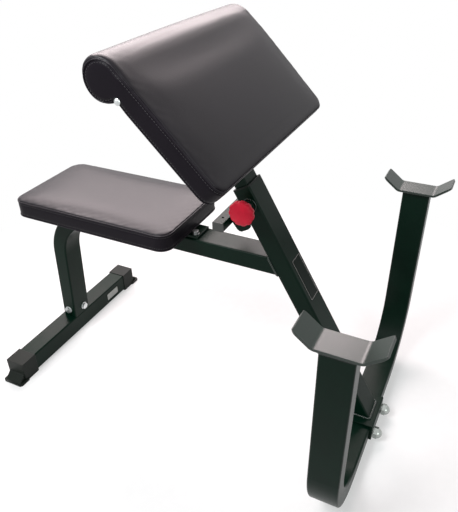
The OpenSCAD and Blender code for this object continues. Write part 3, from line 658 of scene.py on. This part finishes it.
def finish(name):
    """The material of that name, made once."""
    if name not in MADE:
        scene = bpy.context.scene
        coat, covers, knob = scene.bench_coat, scene.bench_covers, scene.bench_knob
        makers = {
            "black_coat": lambda: powder_coat(tuple(coat.coat)),
            "rubbed_coat": lambda: powder_coat(tuple(coat.coat), "rubbed powder coat", 0.27, 0.62),
            "weld": lambda: powder_coat(tuple(coat.coat), "coated weld", 0.16, 0.5),
            "cap_nut": lambda: bright_zinc((0.42, 0.45, 0.43), "smoked chrome", 0.07),
            "zinc": lambda: bright_zinc(tuple(coat.zinc)),
            "dull_zinc": lambda: bright_zinc(tuple(0.3 * c for c in coat.zinc), "dull zinc", 0.25),
            "steel_pin": turned_steel,
            "vinyl": lambda: vinyl(tuple(covers.vinyl)),
            "piping": lambda: vinyl(tuple(1.25 * c for c in covers.vinyl), "vinyl piping"),
            "thread": lambda: sewn_thread(tuple(covers.thread)),
            "plywood": lambda: plywood(0.0, "plywood, level"),
            "plywood_sloped": lambda: plywood(-math.pi / 4, "plywood, sloped"),
            "black_plastic": lambda: moulded(tuple(coat.plastic), "black plastic", 0.36, sheen=0.14),
            "grey_plastic": lambda: moulded((0.036, 0.038, 0.036), "grey plastic", 0.42),
            "red_plastic": lambda: moulded(tuple(knob.plastic), "crimson plastic", 0.4, 0.00006, 0.25),
            "white_film": lambda: printed_film((0.5, 0.52, 0.5), "white film", sheen=0.2),
            "dark_film": lambda: printed_film((0.003, 0.008, 0.0055), "dark film", 0.3, 0.08),
            "pale_ink": lambda: printed_film((0.42, 0.4, 0.39), "pale ink", sheen=0.2),
        }
        MADE[name] = makers[name]()
    return MADE[name]


# ---------------------------------------------------------------- the seat cover

SEAT_LOW, SEAT_HIGH = (np.array(c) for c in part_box("seat_cushion"))
SEAT_MIDDLE = np.array([0.0, (SEAT_LOW[1] + SEAT_HIGH[1]) / 2, SEAT_LOW[2]])
SEAT_HALF = (SEAT_HIGH - SEAT_LOW)[:2] / 2
SEAT_SEAM = 0.041
SEAT_CORNER = 0.03


def seat_outline(count, inset=0.0):
    """The seat's plan at an inset e.

    A point is (sx (w - e - r) + r cos a, sy (l - e - r) + r sin a), where sx, sy and a step round the four
    sides and corners in arc length, and r is the corner radius less 0.6 e."""
    w, l = SEAT_HALF
    legs = np.array([2 * (l - SEAT_CORNER), math.pi * SEAT_CORNER / 2,
                     2 * (w - SEAT_CORNER), math.pi * SEAT_CORNER / 2] * 2)
    at = np.concatenate([[0], legs.cumsum()])
    t = np.arange(count) / count * at[-1]
    sx = np.interp(t, at, [1, 1, 1, -1, -1, -1, -1, 1, 1])
    sy = np.interp(t, at, [-1, 1, 1, 1, 1, -1, -1, -1, -1])
    a = np.interp(t, at, np.radians([0, 0, 90, 90, 180, 180, 270, 270, 360]))
    e = np.asarray(inset, float)[..., None]
    r = np.maximum(SEAT_CORNER - 0.6 * e, 0.004)
    return np.stack([sx * (w - e - r) + r * np.cos(a), sy * (l - e - r) + r * np.sin(a)], -1)


def seat_shape(crown):
    """The seat as rings of its plan: flat below, drawn in between two seams, crowned above.

    The crown is crown * (1 - exp(-(e / 13 mm)^0.75)) at an inset e from the upper seam."""
    floor = np.linspace(0.112, 0.004, 14)
    band = np.linspace(0, 1, 11)
    top = np.linspace(0.002, 0.112, 22)
    inset = np.concatenate([floor, 0.0012 * (1 + 0.6 * np.sin(np.pi * band) ** 0.5), top])
    height = np.concatenate([0 * floor, 0.0015 + band * (SEAT_SEAM - 0.0025),
                             SEAT_SEAM + crown * (1 - np.exp(-(top / 0.013) ** 0.75))])
    plan = seat_outline(240, inset)
    rings = np.concatenate([plan, np.broadcast_to(height[:, None, None], (*plan.shape[:2], 1))], -1)
    return rows_to_faces(rings + SEAT_MIDDLE)


def seat_seam(inset, height, count=900):
    """A closed path round the seat's plan at an inset and a height."""
    return np.column_stack([seat_outline(count, inset), np.full(count, height)]) + SEAT_MIDDLE


def seat_distance(points):
    """How far outside the seat's plan each point lies.

    It is |max(q, 0)| + min(max(q), 0) - r, with q = |p| - (half - r)."""
    q = np.abs((points - SEAT_MIDDLE)[:, :2]) - (SEAT_HALF - SEAT_CORNER)
    return np.linalg.norm(np.maximum(q, 0), axis=1) + np.minimum(q.max(1), 0) - SEAT_CORNER


def pucker(points, near, size, wave):
    """Small gathers beside a seam, as a column of heights.

    With (x, y, z) = point / wave, size * near * sin(2.1 x + 1.3 sin y) * sin(1.7 y + 2.3 z), where near falls
    away from the seam."""
    x, y, z = (points / wave).T
    return (size * near * (np.sin(x * 2.1 + 1.3 * np.sin(y)) * np.sin(y * 1.7 + z * 2.3)))[:, None]


class BENCH_OT_seat_cover(bpy.types.Operator):
    """Make the seat's cover as swollen cloth, with its sewn channels"""
    bl_idname = "bench.seat_cover"
    bl_label = "Seat cover"

    def execute(self, context):
        s = context.scene.bench_covers
        obj = piece("seat_cover", *seat_shape(s.seat_crown))
        remeshed(obj)
        co = coordinates(obj.data)
        z = co[:, 2] - SEAT_MIDDLE[2]
        edge = np.abs(seat_distance(co)) < 0.004
        held = (z < 0.002) | (edge & (np.abs(z - SEAT_SEAM) < 0.005)) | (edge & (z < 0.008))
        limit = np.where(z > SEAT_SEAM - 0.001, s.seat_swell, 0.0016)
        swell(obj, held, limit, 24)
        smoothed(obj)
        rows = ((0.0002, SEAT_SEAM), (0.0004, 0.0036), (0.0006, 0.0352), (0.0006, 0.0095))
        seams = channels(obj, [seat_seam(inset, height) for inset, height in rows], True)
        co = coordinates(obj.data)
        rise, out = co[:, 2] - SEAT_MIDDLE[2] - SEAT_SEAM, seat_distance(co)
        near = np.exp(-np.abs(rise) / 0.01) * np.exp(-np.abs(out) / 0.018)
        set_coordinates(obj.data, co + pucker(co, near, 0.0004, 0.0075) * vertex_normals(obj.data))
        trimmed(obj, seams, True, "frame", "seat_cushion")
        return {"FINISHED"}


# ---------------------------------------------------------------- the arm pad's cover

PAD_HALF = 0.248
PAD_LOW = 0.212
PAD_THICK = 0.043
ROLL = (0.0438, 0.007, 0.037)
ROLL_FOOT = ROLL[0] - math.sqrt(ROLL[2] ** 2 - ROLL[1] ** 2)
FRONT_ROUND, FOOT_ROUND = 0.010, 0.007
PAD_CORNER, CORNER_EASE = 0.025, 0.06


def arc(centre, radius, a0, a1, count):
    """Points and normals of an arc: centre + radius (cos a, sin a), with a in degrees."""
    a = np.radians(np.linspace(a0, a1, count))
    n = np.stack([np.cos(a), np.sin(a)], -1)
    return np.hstack([np.asarray(centre) + radius * n, n])


def pad_outline(count):
    """The pad's side outline in (up the slope, out of its underside), evenly spaced.

    Its columns are the point, the normal, the crown share and the roll share.

    It goes up the rounded lower end, along the face, round the roll by an arc and back along the underside.
    The crown share is sin(pi u)^0.6 along the face and 0 elsewhere; the roll share goes smoothly from 0
    on the face to 1 on the roll."""
    y, z, r = ROLL
    u = np.linspace(0, 1, 60)[1:-1, None]
    foot = arc((-PAD_LOW + FOOT_ROUND, FOOT_ROUND), FOOT_ROUND, 270, 180, 12)
    front = arc((-PAD_LOW + FRONT_ROUND, PAD_THICK - FRONT_ROUND), FRONT_ROUND, 180, 90, 14)
    face = np.hstack([-PAD_LOW + FRONT_ROUND + u * (y + PAD_LOW - FRONT_ROUND), PAD_THICK + 0.001 * u,
                      0 * u, 1 + 0 * u])
    roll = arc((y, z), r, 90, -169, 70)
    back = np.hstack([ROLL_FOOT - u * (ROLL_FOOT + PAD_LOW - FOOT_ROUND), 0 * u, 0 * u, -1 + 0 * u])
    share = np.concatenate([np.zeros(26), np.sin(np.pi * u[:, 0]) ** 0.6, np.zeros(70 + len(u))])
    whole = np.vstack([foot, front, face, roll, back])
    turn = np.clip((whole[:, 0] - y + 0.05) / 0.05, 0, 1) * (np.arange(len(whole)) < 26 + len(u))
    turn[26 + len(u):] = 1
    turn[-len(u):] = np.clip(1 - (ROLL_FOOT - back[:, 0]) / 0.03, 0, 1)
    turn = turn ** 2 * (3 - 2 * turn)
    return along(whole[:, :2], count, True, np.hstack([whole[:, 2:], share[:, None], turn[:, None]]))


def corner_back(x):
    """How far the lower end draws back at x: R - sqrt(R^2 - d^2), d measured in from the side."""
    d = np.clip(np.abs(x) - PAD_HALF + PAD_CORNER, 0, PAD_CORNER)
    return PAD_CORNER - np.sqrt(PAD_CORNER ** 2 - d ** 2)


def eased(points):
    """Rounds the two lower corners in plan: the last 60 mm of the slope move back by corner_back(x)."""
    moved = points.copy()
    share = np.clip((CORNER_EASE - PAD_LOW - points[..., 1]) / CORNER_EASE, 0, 1)
    moved[..., 1] += corner_back(points[..., 0]) * share
    return moved


def pad_shape(crown, bow=0.0022, round_end=0.006, lift=0.0065):
    """The pad as side outlines carried across X, drawn in by a round shoulder at both ends.

    At a shoulder angle f the outline stands at x = h - R + R sin f and is inset by R (1 - cos f), with R
    5 mm along the face and 5 mm + round on the roll, which also bows out by bow (1 - (x / h)^2) and is
    lifted up the slope by lift * max(normal y, 0). Beyond it the rings shrink to a hub inside the roll's
    end."""
    side = pad_outline(220)
    shoulder = 0.005 + round_end * side[None, :, 5]
    f = np.radians([0, 20, 37, 52, 65, 76, 86])[:, None]
    near_x, near_in = PAD_HALF - shoulder + shoulder * np.sin(f), shoulder * (1 - np.cos(f))
    flat_x = np.linspace(0, 0.998, 40)[:, None] * (PAD_HALF - shoulder)
    half_x, half_in = np.vstack([flat_x, near_x]), np.vstack([0 * flat_x, near_in])
    x, inset = np.vstack([-half_x[::-1], half_x[1:]]), np.vstack([half_in[::-1], half_in[1:]])
    inset = inset - bow * (1 - (x / PAD_HALF) ** 2) * side[None, :, 5]
    share = crown * np.clip((PAD_HALF - np.abs(x)) / 0.05, 0, 1) ** 0.5
    up_slope = lift * side[None, :, 5] * np.maximum(side[None, :, 2], 0)
    ring_y = side[None, :, 0] - inset * side[None, :, 2] + up_slope
    ring_z = side[None, :, 1] - inset * side[None, :, 3] + share * side[None, :, 4]
    rings = eased(np.stack([x, ring_y, ring_z], -1))
    shrink = np.linspace(0.9, 0.1, 9)[:, None, None]
    hub = np.array([PAD_HALF, ROLL[0] - 0.004, PAD_THICK / 2])
    far = hub + shrink * (rings[-1] - hub)
    mirrored = hub * [-1, 1, 1] + shrink[::-1] * (rings[0] - hub * [-1, 1, 1])
    return rows_to_faces(np.concatenate([mirrored, rings, far]))


def outline_gap(points):
    """Distance of each point from the pad's side outline in the side's own plane, counted up to 9 mm."""
    yz = points[:, 1:].copy()
    share = np.clip((CORNER_EASE - PAD_LOW - yz[:, 0]) / CORNER_EASE, 0, 1)
    yz[:, 0] -= corner_back(points[:, 0]) * share
    return distance_to(pad_outline(400)[:, :2], yz, 0.009)


def pad_seam(inset, lower=False):
    """A seam path from roll to roll in the pad's own frame.

    On each side it keeps an inset from the outline: round the roll's end and down the face's edge for the
    upper seam, or down the underside's edge for the lower one. It turns the two lower corners by arcs of
    25 mm in plan and crosses the lower end at the same height."""
    y, z, r = ROLL
    low = -PAD_LOW + PAD_CORNER
    height = inset if lower else PAD_THICK - inset
    if lower:
        run = np.column_stack([np.linspace(ROLL_FOOT + 0.004, low, 80), np.full(80, height)])
    else:
        roll = arc((y, z), r - inset, -164, 90, 120)[:, :2]
        run = np.vstack([roll, np.column_stack([np.linspace(y, low, 90)[1:],
                                                np.linspace(height + 0.001, height, 90)[1:]])])
    side = np.column_stack([np.full(len(run), -PAD_HALF), run])
    bend = arc((-PAD_HALF + PAD_CORNER, low), PAD_CORNER, 180, 270, 24)[1:]
    left = np.vstack([side, np.column_stack([bend[:, :2], np.full(len(bend), height)])])
    return along(np.vstack([left, left[::-1] * [-1.0, 1, 1]]), 1500)


class BENCH_OT_arm_pad_cover(bpy.types.Operator):
    """Make the arm pad's cover as swollen cloth, with its sewn channels"""
    bl_idname = "bench.arm_pad_cover"
    bl_label = "Arm pad cover"

    def execute(self, context):
        s = context.scene.bench_covers
        obj = piece("arm_pad_cover", *pad_shape(s.pad_crown))
        remeshed(obj)
        co = coordinates(obj.data)
        gap = outline_gap(co)
        side = np.abs(co[:, 0]) > PAD_HALF - 0.004
        front = co[:, 1] < -PAD_LOW + corner_back(co[:, 0]) + 0.004
        under = (co[:, 2] < 0.0015) & (co[:, 1] < ROLL_FOOT)
        near_top = np.abs(co[:, 2] - PAD_THICK + 0.003) < 0.006
        near_foot = co[:, 2] < 0.007
        held = under | (side & (gap < 0.008)) | (front & (near_top | near_foot))
        roll = np.clip((co[:, 1] + 0.04) / 0.07, 0, 1)
        broad = s.pad_swell + (0.001 - s.pad_swell) * roll ** 2 * (3 - 2 * roll)
        limit = np.where(side | front, 0.0014, broad)
        swell(obj, held, limit, 70)
        smoothed(obj)
        co = coordinates(obj.data)
        near = np.exp(-np.clip(PAD_HALF - np.abs(co[:, 0]), 0, None) / 0.016) * (co[:, 2] > 0.03)
        set_coordinates(obj.data, on_pad(co + pucker(co, near, 0.0003, 0.0085) * vertex_normals(obj.data)))
        rows = ((0.0026, False), (0.0026, True), (0.0075, False), (0.0075, True))
        seams = channels(obj, [on_pad(pad_seam(inset, lower)) for inset, lower in rows], False)
        trimmed(obj, seams, False, "arm_pad", "arm_pad_cushion")
        return {"FINISHED"}


# ---------------------------------------------------------------- the pull knob

class BENCH_OT_pull_knob(bpy.types.Operator):
    """Make the lobed pull knob"""
    bl_idname = "bench.pull_knob"
    bl_label = "Pull knob"

    def execute(self, context):
        s = context.scene.bench_knob
        dress(piece("pull_knob_lobed", *knob_shape(s.radius, s.lobes, s.valley)), "pull_pin",
              finish("red_plastic"), ["pull_knob"])
        return {"FINISHED"}


def knob_shape(radius, lobes, valley):
    """A star knob turned about the pin: a profile (radius, height) whose radius is cut by valleys.

    The radius at angle a is p - share * valley * (1 - sqrt(cos(n a / 2)^2 + 0.03)), with p the profile's
    radius; share is 1 on the side and fades towards the hub and over the domed face."""
    low = 0.0512
    profile = np.array([
        [5.0, 0.0, 0], [11.0, 0.0, 0], [11.9, 0.6, 0], [12.0, 2.0, 0], [12.1, 4.6, 0], [12.8, 5.3, 0],
        [16.0, 5.5, 0.1], [20.0, 5.8, 0.5], [23.2, 6.4, 0.8], [24.9, 7.6, 1], [25.8, 9.2, 1], [26.5, 11.5, 1],
        [26.9, 14.0, 1], [27.0, 16.5, 1], [26.6, 18.4, 1], [25.5, 20.0, 1], [23.8, 21.3, 0.85],
        [21.5, 22.3, 0.6], [18.5, 23.3, 0.35], [15.0, 24.2, 0.15], [11.0, 25.0, 0.05], [7.0, 25.5, 0],
        [3.0, 25.8, 0], [0.6, 25.85, 0]]) * [radius / 27.0, MM, 1]
    fine = along(profile[:, :2], 90, False, profile[:, 2:])
    a = np.arange(lobes * 16) * 2 * math.pi / (lobes * 16)
    cut = valley * (1 - np.sqrt(np.cos(lobes * a / 2) ** 2 + 0.03))
    rho = fine[:, :1] - fine[:, 2:] * np.clip(cut, 0, None)
    local = np.stack([rho * np.cos(a), rho * np.sin(a), np.broadcast_to(low + fine[:, 1:2], rho.shape)], -1)
    rings = in_frame(local, PIN_FOOT, POST_UP, POST_BACK, -X_AXIS)
    return rows_to_faces(rings)


# ---------------------------------------------------------------- weld beads

def rect_path(w, d, r, count):
    """A rounded rectangle in its plane, evenly spaced, with outward normals."""
    corners = [arc((sx * (w / 2 - r), sy * (d / 2 - r)), r, a, a + 90, 8)
               for sx, sy, a in ((1, 1, 0), (-1, 1, 90), (-1, -1, 180), (1, -1, 270))]
    whole = np.vstack(corners)
    return along(whole[:, :2], count, True, whole[:, 2:])


def bead(path, normals, size, closed=True, pitch=0.0042):
    """A weld bead: a half-round carried along the joint, its size rippled by 1 + 0.13 |sin(pi s / pitch)|
    and by a slow wander."""
    count = max(int(length_of(path, closed) / 0.0009), 24)
    both = along(path, count, closed, normals)
    s = np.arange(count) * 0.0009
    ripple = 0.9 + 0.16 * np.abs(np.sin(np.pi * s / pitch)) + 0.07 * np.sin(s / 0.011) * np.sin(s / 0.023 + 1)
    if not closed:
        ripple = ripple * np.clip(np.minimum(np.arange(count), count - 1 - np.arange(count)) / 4, 0.35, 1)
    return carried(both[:, :3], both[:, 3:], circle(size, 9), closed, ripple)


def straight_bead(a, b, normal):
    """An open weld bead from a to b with one normal."""
    return bead(np.linspace(a, b, 30), np.tile(np.asarray(normal, float), (30, 1)), 0.0018, False)


def level_bead(x, y, z, wide, deep, corner, size, lean=0.0):
    """A weld bead round a level rounded rectangle centred at (x, y, z); lean tips its normals up."""
    ring = rect_path(wide, deep, corner, 240)
    return bead(np.column_stack([ring[:, 0] + x, ring[:, 1] + y, np.full(240, z)]),
                np.column_stack([ring[:, 2:4], np.full(240, lean)]), size)


class BENCH_OT_weld_beads(bpy.types.Operator):
    """Lay the weld beads where the frame's tubes and plates meet"""
    bl_idname = "bench.weld_beads"
    bl_label = "Weld beads"

    def execute(self, context):
        beads = []
        # the post's foot on the saddle: the post's outline cut level
        beads.append(level_bead(0, POST_FOOT[1], 0.0465, TUBE_WIDE, TUBE_DEEP / POST_UP[2], 0.004, 0.0031, 0.7))
        # the rail's end on the post's rear face
        ring = rect_path(TUBE_WIDE, TUBE_DEEP, 0.004, 240)
        high = ring[:, 1] + RAIL_MIDDLE
        rear = POST_FOOT[1] + ((high - POST_FOOT[2]) * POST_UP[1] + TUBE_DEEP / 2) / POST_UP[2]
        beads.append(bead(np.column_stack([ring[:, 0], rear, high]),
                          np.column_stack([ring[:, 2], np.full(240, 0.5), ring[:, 3]]), 0.0027))
        for side in (-1, 1):
            # the plate on each arm, and the cradle on the plate
            for inward, up, wide, deep, corner, size in ((0, 0, TUBE_DEEP, TUBE_WIDE, 0.004, 0.0016),
                                                         (0.0005, 0.0027, 0.044, 0.066, 0.005, 0.0014)):
                beads.append(level_bead(side * (ARM_MIDDLE - inward), POST_FOOT[1], ARM_TOP + up,
                                        wide, deep, corner, size))
            # the two bracket plates behind the post
            x = side * 0.028
            beads.append(straight_bead(on_post([x, 0.0204, 0.518]), on_post([x, 0.0204, 0.561]), [side, 0, 0]))
        dress(piece("frame_weld_beads", *joined(beads)), "frame", finish("weld"))
        # the pin housing on the post's near side
        a = np.arange(120) * math.pi / 60
        local = np.column_stack([0.0145 * np.cos(a), 0.0145 * np.sin(a), np.full(120, 0.0302)])
        path = in_frame(local, PIN_FOOT, POST_UP, POST_BACK, -X_AXIS)
        normal = in_frame(np.column_stack([np.cos(a), np.sin(a), np.full(120, 0.4)]), np.zeros(3),
                          POST_UP, POST_BACK, -X_AXIS)
        dress(piece("housing_weld_bead", *bead(path, normal, 0.0016)), "frame", finish("weld"))
        # the gussets on the inner tube and under the mount plate
        under = [straight_bead(on_pad([x, -0.155, -0.0052]), on_pad([x, -0.045, -0.0052]), [x, 0, 0])
                 for x in (-0.0302, 0.0302)]
        dress(piece("pad_weld_beads", *joined(under)), "arm_pad", finish("weld"))
        return {"FINISHED"}


# ---------------------------------------------------------------- blank labels

def film(path, normal, thick):
    """A thin plate: its outline at two heights along one normal, closed by fans, with a fine rounded rim."""
    middle = path.mean(0)
    lift = np.array([0.0, 0.75, 1.0, 1.0])[:, None, None] * thick * normal
    draw = np.array([1.0, 1.0, 0.985, 0.5])[:, None, None]
    return rows_to_faces(middle + draw * (path - middle) + lift)


def border(path, normal, wide, thick):
    """A flat line round an outline, carried as a rectangle."""
    profile = np.array([[-wide / 2, 0.0], [wide / 2, 0.0], [wide / 2, thick], [-wide / 2, thick]])
    side = np.cross(tangents(path, True), normal)
    rings = path[:, None] + profile[None, :, :1] * side[:, None] + profile[None, :, 1:] * normal
    return rows_to_faces(rings, True)


class BENCH_OT_blank_labels(bpy.types.Operator):
    """Put a blank plate on the post and a blank sticker on the rear base"""
    bl_idname = "bench.blank_labels"
    bl_label = "Blank labels"

    def execute(self, context):
        def outline(wide, high, corner, proud):
            """A rounded rectangle on the post's front face, standing proud of it."""
            ring = rect_path(wide, high, corner, 160)
            return on_post(np.column_stack([ring[:, 0] + 0.003, np.full(160, -TUBE_DEEP / 2 - proud),
                                            ring[:, 1] + 0.355]))

        plate = film(outline(0.041, 0.1, 0.003, -0.00005), -POST_BACK, 0.0003)
        dress(piece("post_plate_blank", *plate), "frame", finish("dark_film"))
        line = border(outline(0.037, 0.096, 0.002, 0.00022), -POST_BACK, 0.0009, 0.00015)
        dress(piece("post_plate_border", *line), "frame", finish("pale_ink"))
        low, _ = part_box("rear_base_tube")
        ring = rect_path(0.05, 0.02, 0.001, 120)
        path = np.column_stack([ring[:, 0] + 0.138, np.full(120, low[1] + 0.00005), ring[:, 1] + 0.027])
        dress(piece("base_sticker_blank", *film(path, np.array([0.0, -1.0, 0.0]), 0.00025)), "frame",
              finish("white_film"))
        return {"FINISHED"}


# ---------------------------------------------------------------- finishes of the CAD nodes

NODE_FINISH = {
    "black_coat": ["rear_base_tube", "leg_spigot", "leg_and_seat_rail", "front_post", "saddle_foot",
                   "bar_rack_tube", "rack_arm_plate_left", "rack_arm_plate_right", "rear_cross_tube",
                   "cross_tube_brackets", "seat_bracket_front", "seat_bracket_rear", "inner_post",
                   "pad_gussets", "pad_mount_plate", "pin_housing"],
    "rubbed_coat": ["bar_cradle_left", "bar_cradle_right"],
    "cap_nut": ["saddle_washers", "saddle_acorn_nuts"],
    "zinc": ["leg_bolts", "leg_washers", "leg_nuts", "saddle_bolts", "bracket_rivet_nuts", "seat_bolts",
             "arm_pad_bolts", "arm_pad_side_screws", "pin_spring"],
    "dull_zinc": ["bracket_bolts"],
    "steel_pin": ["pull_pin"],
    "plywood": ["seat_board"],
    "plywood_sloped": ["arm_pad_board"],
    "black_plastic": ["rear_foot_cap_left", "rear_foot_cap_right", "post_bushing", "inner_post_glide",
                      "inner_post_plug"],
    "grey_plastic": ["cross_tube_plugs"],
    "vinyl": ["seat_cushion", "arm_pad_cushion"],
    "red_plastic": ["pull_knob"],
}


class BENCH_OT_finishes(bpy.types.Operator):
    """Give every node of the frame its finish"""
    bl_idname = "bench.finishes"
    bl_label = "Frame finishes"

    def execute(self, context):
        given = {node: name for name, nodes in NODE_FINISH.items() for node in nodes}
        missing = sorted(set(NODES) - set(given))
        if missing:
            raise RuntimeError("no finish is named for " + ", ".join(missing))
        for node, name in given.items():
            slots = NODES[node].material_slots
            for k in range(len(slots)):
                slots[k].material = finish(name)
        return {"FINISHED"}


# ---------------------------------------------------------------- the studio

def soft_lamp(name, power, size, place, target, colour):
    """A softbox of a width and height at a place, facing a target."""
    data = bpy.data.lights.new(name, "AREA")
    data.shape, data.energy, data.color = "RECTANGLE", power, colour
    data.size, data.size_y = size
    lamp = bpy.data.objects.new(name, data)
    bpy.context.scene.collection.objects.link(lamp)
    back = np.array(place, float) - np.array(target, float)
    back /= np.linalg.norm(back)
    side = np.cross([0, 0, 1], back)
    side /= np.linalg.norm(side)
    turn = Matrix(np.column_stack([side, np.cross(back, side), back]).tolist()).to_4x4()
    lamp.matrix_world = Matrix.Translation(place) @ turn
    return lamp


def seeing(tree):
    """The socket that is 1 for camera, glossy and transmission rays and 0 for others."""
    ray = tree.nodes.new("ShaderNodeLightPath")
    last = ray.outputs["Is Camera Ray"]
    for name in ("Is Glossy Ray", "Is Transmission Ray"):
        node = tree.nodes.new("ShaderNodeMath")
        node.operation, node.use_clamp = "ADD", True
        tree.links.new(last, node.inputs[0])
        tree.links.new(ray.outputs[name], node.inputs[1])
        last = node.outputs[0]
    return last


class BENCH_OT_studio(bpy.types.Operator):
    """Set up the floor, the light and the camera"""
    bl_idname = "bench.studio"
    bl_label = "Studio"

    def execute(self, context):
        scene, s = context.scene, context.scene.bench_studio
        scene.view_settings.view_transform = "Standard"
        # floor: pale and matte, lifted to white for the camera and for reflections where no shadow falls
        k = 12.0
        mesh = bpy.data.meshes.new("floor")
        mesh.from_pydata([(-k, -k, 0), (k, -k, 0), (k, k, 0), (-k, k, 0)], [], [(0, 1, 2, 3)])
        floor = bpy.data.objects.new("floor", mesh)
        scene.collection.objects.link(floor)
        f = Finish("floor", **{"Specular IOR Level": 0.0, "Roughness": 1.0})
        speck = f.noise(40, 2)
        f.feed(Base_Color=f.blend(speck, (0.49, 0.49, 0.49), (0.53, 0.53, 0.53)), Emission_Color=(1, 1, 1))
        seen = Wire(f, seeing(f.tree))
        glow = f.add("ShaderNodeEmission", {}, {"Color": (1, 1, 1, 1), "Strength": 0.46})
        both = f.add("ShaderNodeAddShader", {}, {0: Wire(f, f.shader.outputs[0]), 1: Wire(f, glow.outputs[0])})
        pick = f.add("ShaderNodeMixShader", {}, {0: seen, 1: Wire(f, f.shader.outputs[0]),
                                                 2: Wire(f, both.outputs[0])})
        # away from the object the floor is plain white: the share grows from 0 at 0.6 m to 1 at 1.1 m
        away = Wire(f, f.add("ShaderNodeVectorMath", {"operation": "LENGTH"}, {0: f.place}).outputs["Value"])
        white = f.add("ShaderNodeEmission", {}, {"Color": (1, 1, 1, 1), "Strength": 1.0})
        fade = f.add("ShaderNodeMixShader", {}, {0: seen * away.above(0.6, 1.1), 1: Wire(f, pick.outputs[0]),
                                                 2: Wire(f, white.outputs[0])})
        out = next(n for n in f.tree.nodes if n.type == "OUTPUT_MATERIAL")
        f.tree.links.new(fade.outputs[0], out.inputs["Surface"])
        mesh.materials.append(f.material)
        # world: even light, white where it is seen
        world = scene.world or bpy.data.worlds.new("studio")
        scene.world = world
        world.use_nodes = True
        tree = world.node_tree
        tree.nodes.clear()
        out = tree.nodes.new("ShaderNodeOutputWorld")
        light, white, mix = (tree.nodes.new(kind) for kind in
                             ("ShaderNodeBackground", "ShaderNodeBackground", "ShaderNodeMixShader"))
        light.inputs["Color"].default_value = (0.97, 0.99, 1.0, 1)
        light.inputs["Strength"].default_value = s.sky
        white.inputs["Color"].default_value = (1, 1, 1, 1)
        white.inputs["Strength"].default_value = 1.0
        tree.links.new(seeing(tree), mix.inputs[0])
        tree.links.new(light.outputs[0], mix.inputs[1])
        tree.links.new(white.outputs[0], mix.inputs[2])
        tree.links.new(mix.outputs[0], out.inputs["Surface"])
        # lamps
        soft_lamp("top lamp", s.top_light, (0.9, 0.8), (-1.25, 0.65, 2.1), (0, 0.05, 0.4), (0.97, 0.99, 1.0))
        soft_lamp("far lamp", s.far_light, (2.6, 1.2), (1.76, 1.1, 2.12), (0, 0.1, 0.4), (1.0, 0.87, 0.88))
        soft_lamp("fill lamp", s.fill_light, (1.6, 1.6), (-1.9, -1.9, 1.5), (0, -0.1, 0.4), (0.95, 1.0, 0.98))
        # camera
        cos_p, sin_p = math.cos(s.pitch), math.sin(s.pitch)
        ahead = np.array([math.sin(s.yaw) * cos_p, math.cos(s.yaw) * cos_p, sin_p])
        right = np.cross(ahead, [0, 0, 1])
        right /= np.linalg.norm(right)
        over = np.cross(right, ahead)
        cos_r, sin_r = math.cos(s.roll), math.sin(s.roll)
        right, over = cos_r * right + sin_r * over, cos_r * over - sin_r * right
        data = bpy.data.cameras.new("camera")
        data.sensor_fit, data.sensor_height, data.sensor_width = "VERTICAL", 36.0, 36.0
        data.lens = s.lens
        data.shift_x, data.shift_y = 0.0023, 0.0076
        data.clip_start, data.clip_end = 0.02, 60
        camera = bpy.data.objects.new("camera", data)
        scene.collection.objects.link(camera)
        camera.matrix_world = Matrix.Translation(tuple(s.camera)) \
            @ Matrix(np.column_stack([right, over, -ahead]).tolist()).to_4x4()
        scene.camera = camera
        return {"FINISHED"}


# ---------------------------------------------------------------- panel and registration

OPERATORS = (BENCH_OT_finishes, BENCH_OT_seat_cover, BENCH_OT_arm_pad_cover, BENCH_OT_pull_knob,
             BENCH_OT_weld_beads, BENCH_OT_blank_labels, BENCH_OT_studio)


class BENCH_PT_pieces(bpy.types.Panel):
    """The pieces of the bench, in the order in which they are made"""
    bl_idname = "BENCH_PT_pieces"
    bl_label = "Preacher Curl Bench"
    bl_space_type = "VIEW_3D"
    bl_region_type = "UI"
    bl_category = "Bench"

    def draw(self, context):
        for operator in OPERATORS:
            self.layout.operator(operator.bl_idname)
        for name, group in SETTINGS:
            box = self.layout.box()
            for key in group.__annotations__:
                box.prop(getattr(context.scene, name), key)


def register():
    for name, group in SETTINGS:
        bpy.utils.register_class(group)
        setattr(bpy.types.Scene, name, PointerProperty(type=group))
    for item in (*OPERATORS, BENCH_PT_pieces):
        bpy.utils.register_class(item)


def unregister():
    for item in (BENCH_PT_pieces, *reversed(OPERATORS)):
        bpy.utils.unregister_class(item)
    for name, group in reversed(SETTINGS):
        delattr(bpy.types.Scene, name)
        bpy.utils.unregister_class(group)


def main():
    register()
    bpy.ops.bench.finishes()
    bpy.ops.bench.seat_cover()
    bpy.ops.bench.arm_pad_cover()
    bpy.ops.bench.pull_knob()
    bpy.ops.bench.weld_beads()
    bpy.ops.bench.blank_labels()
    bpy.ops.bench.studio()


if __name__ == "__main__":
    main()
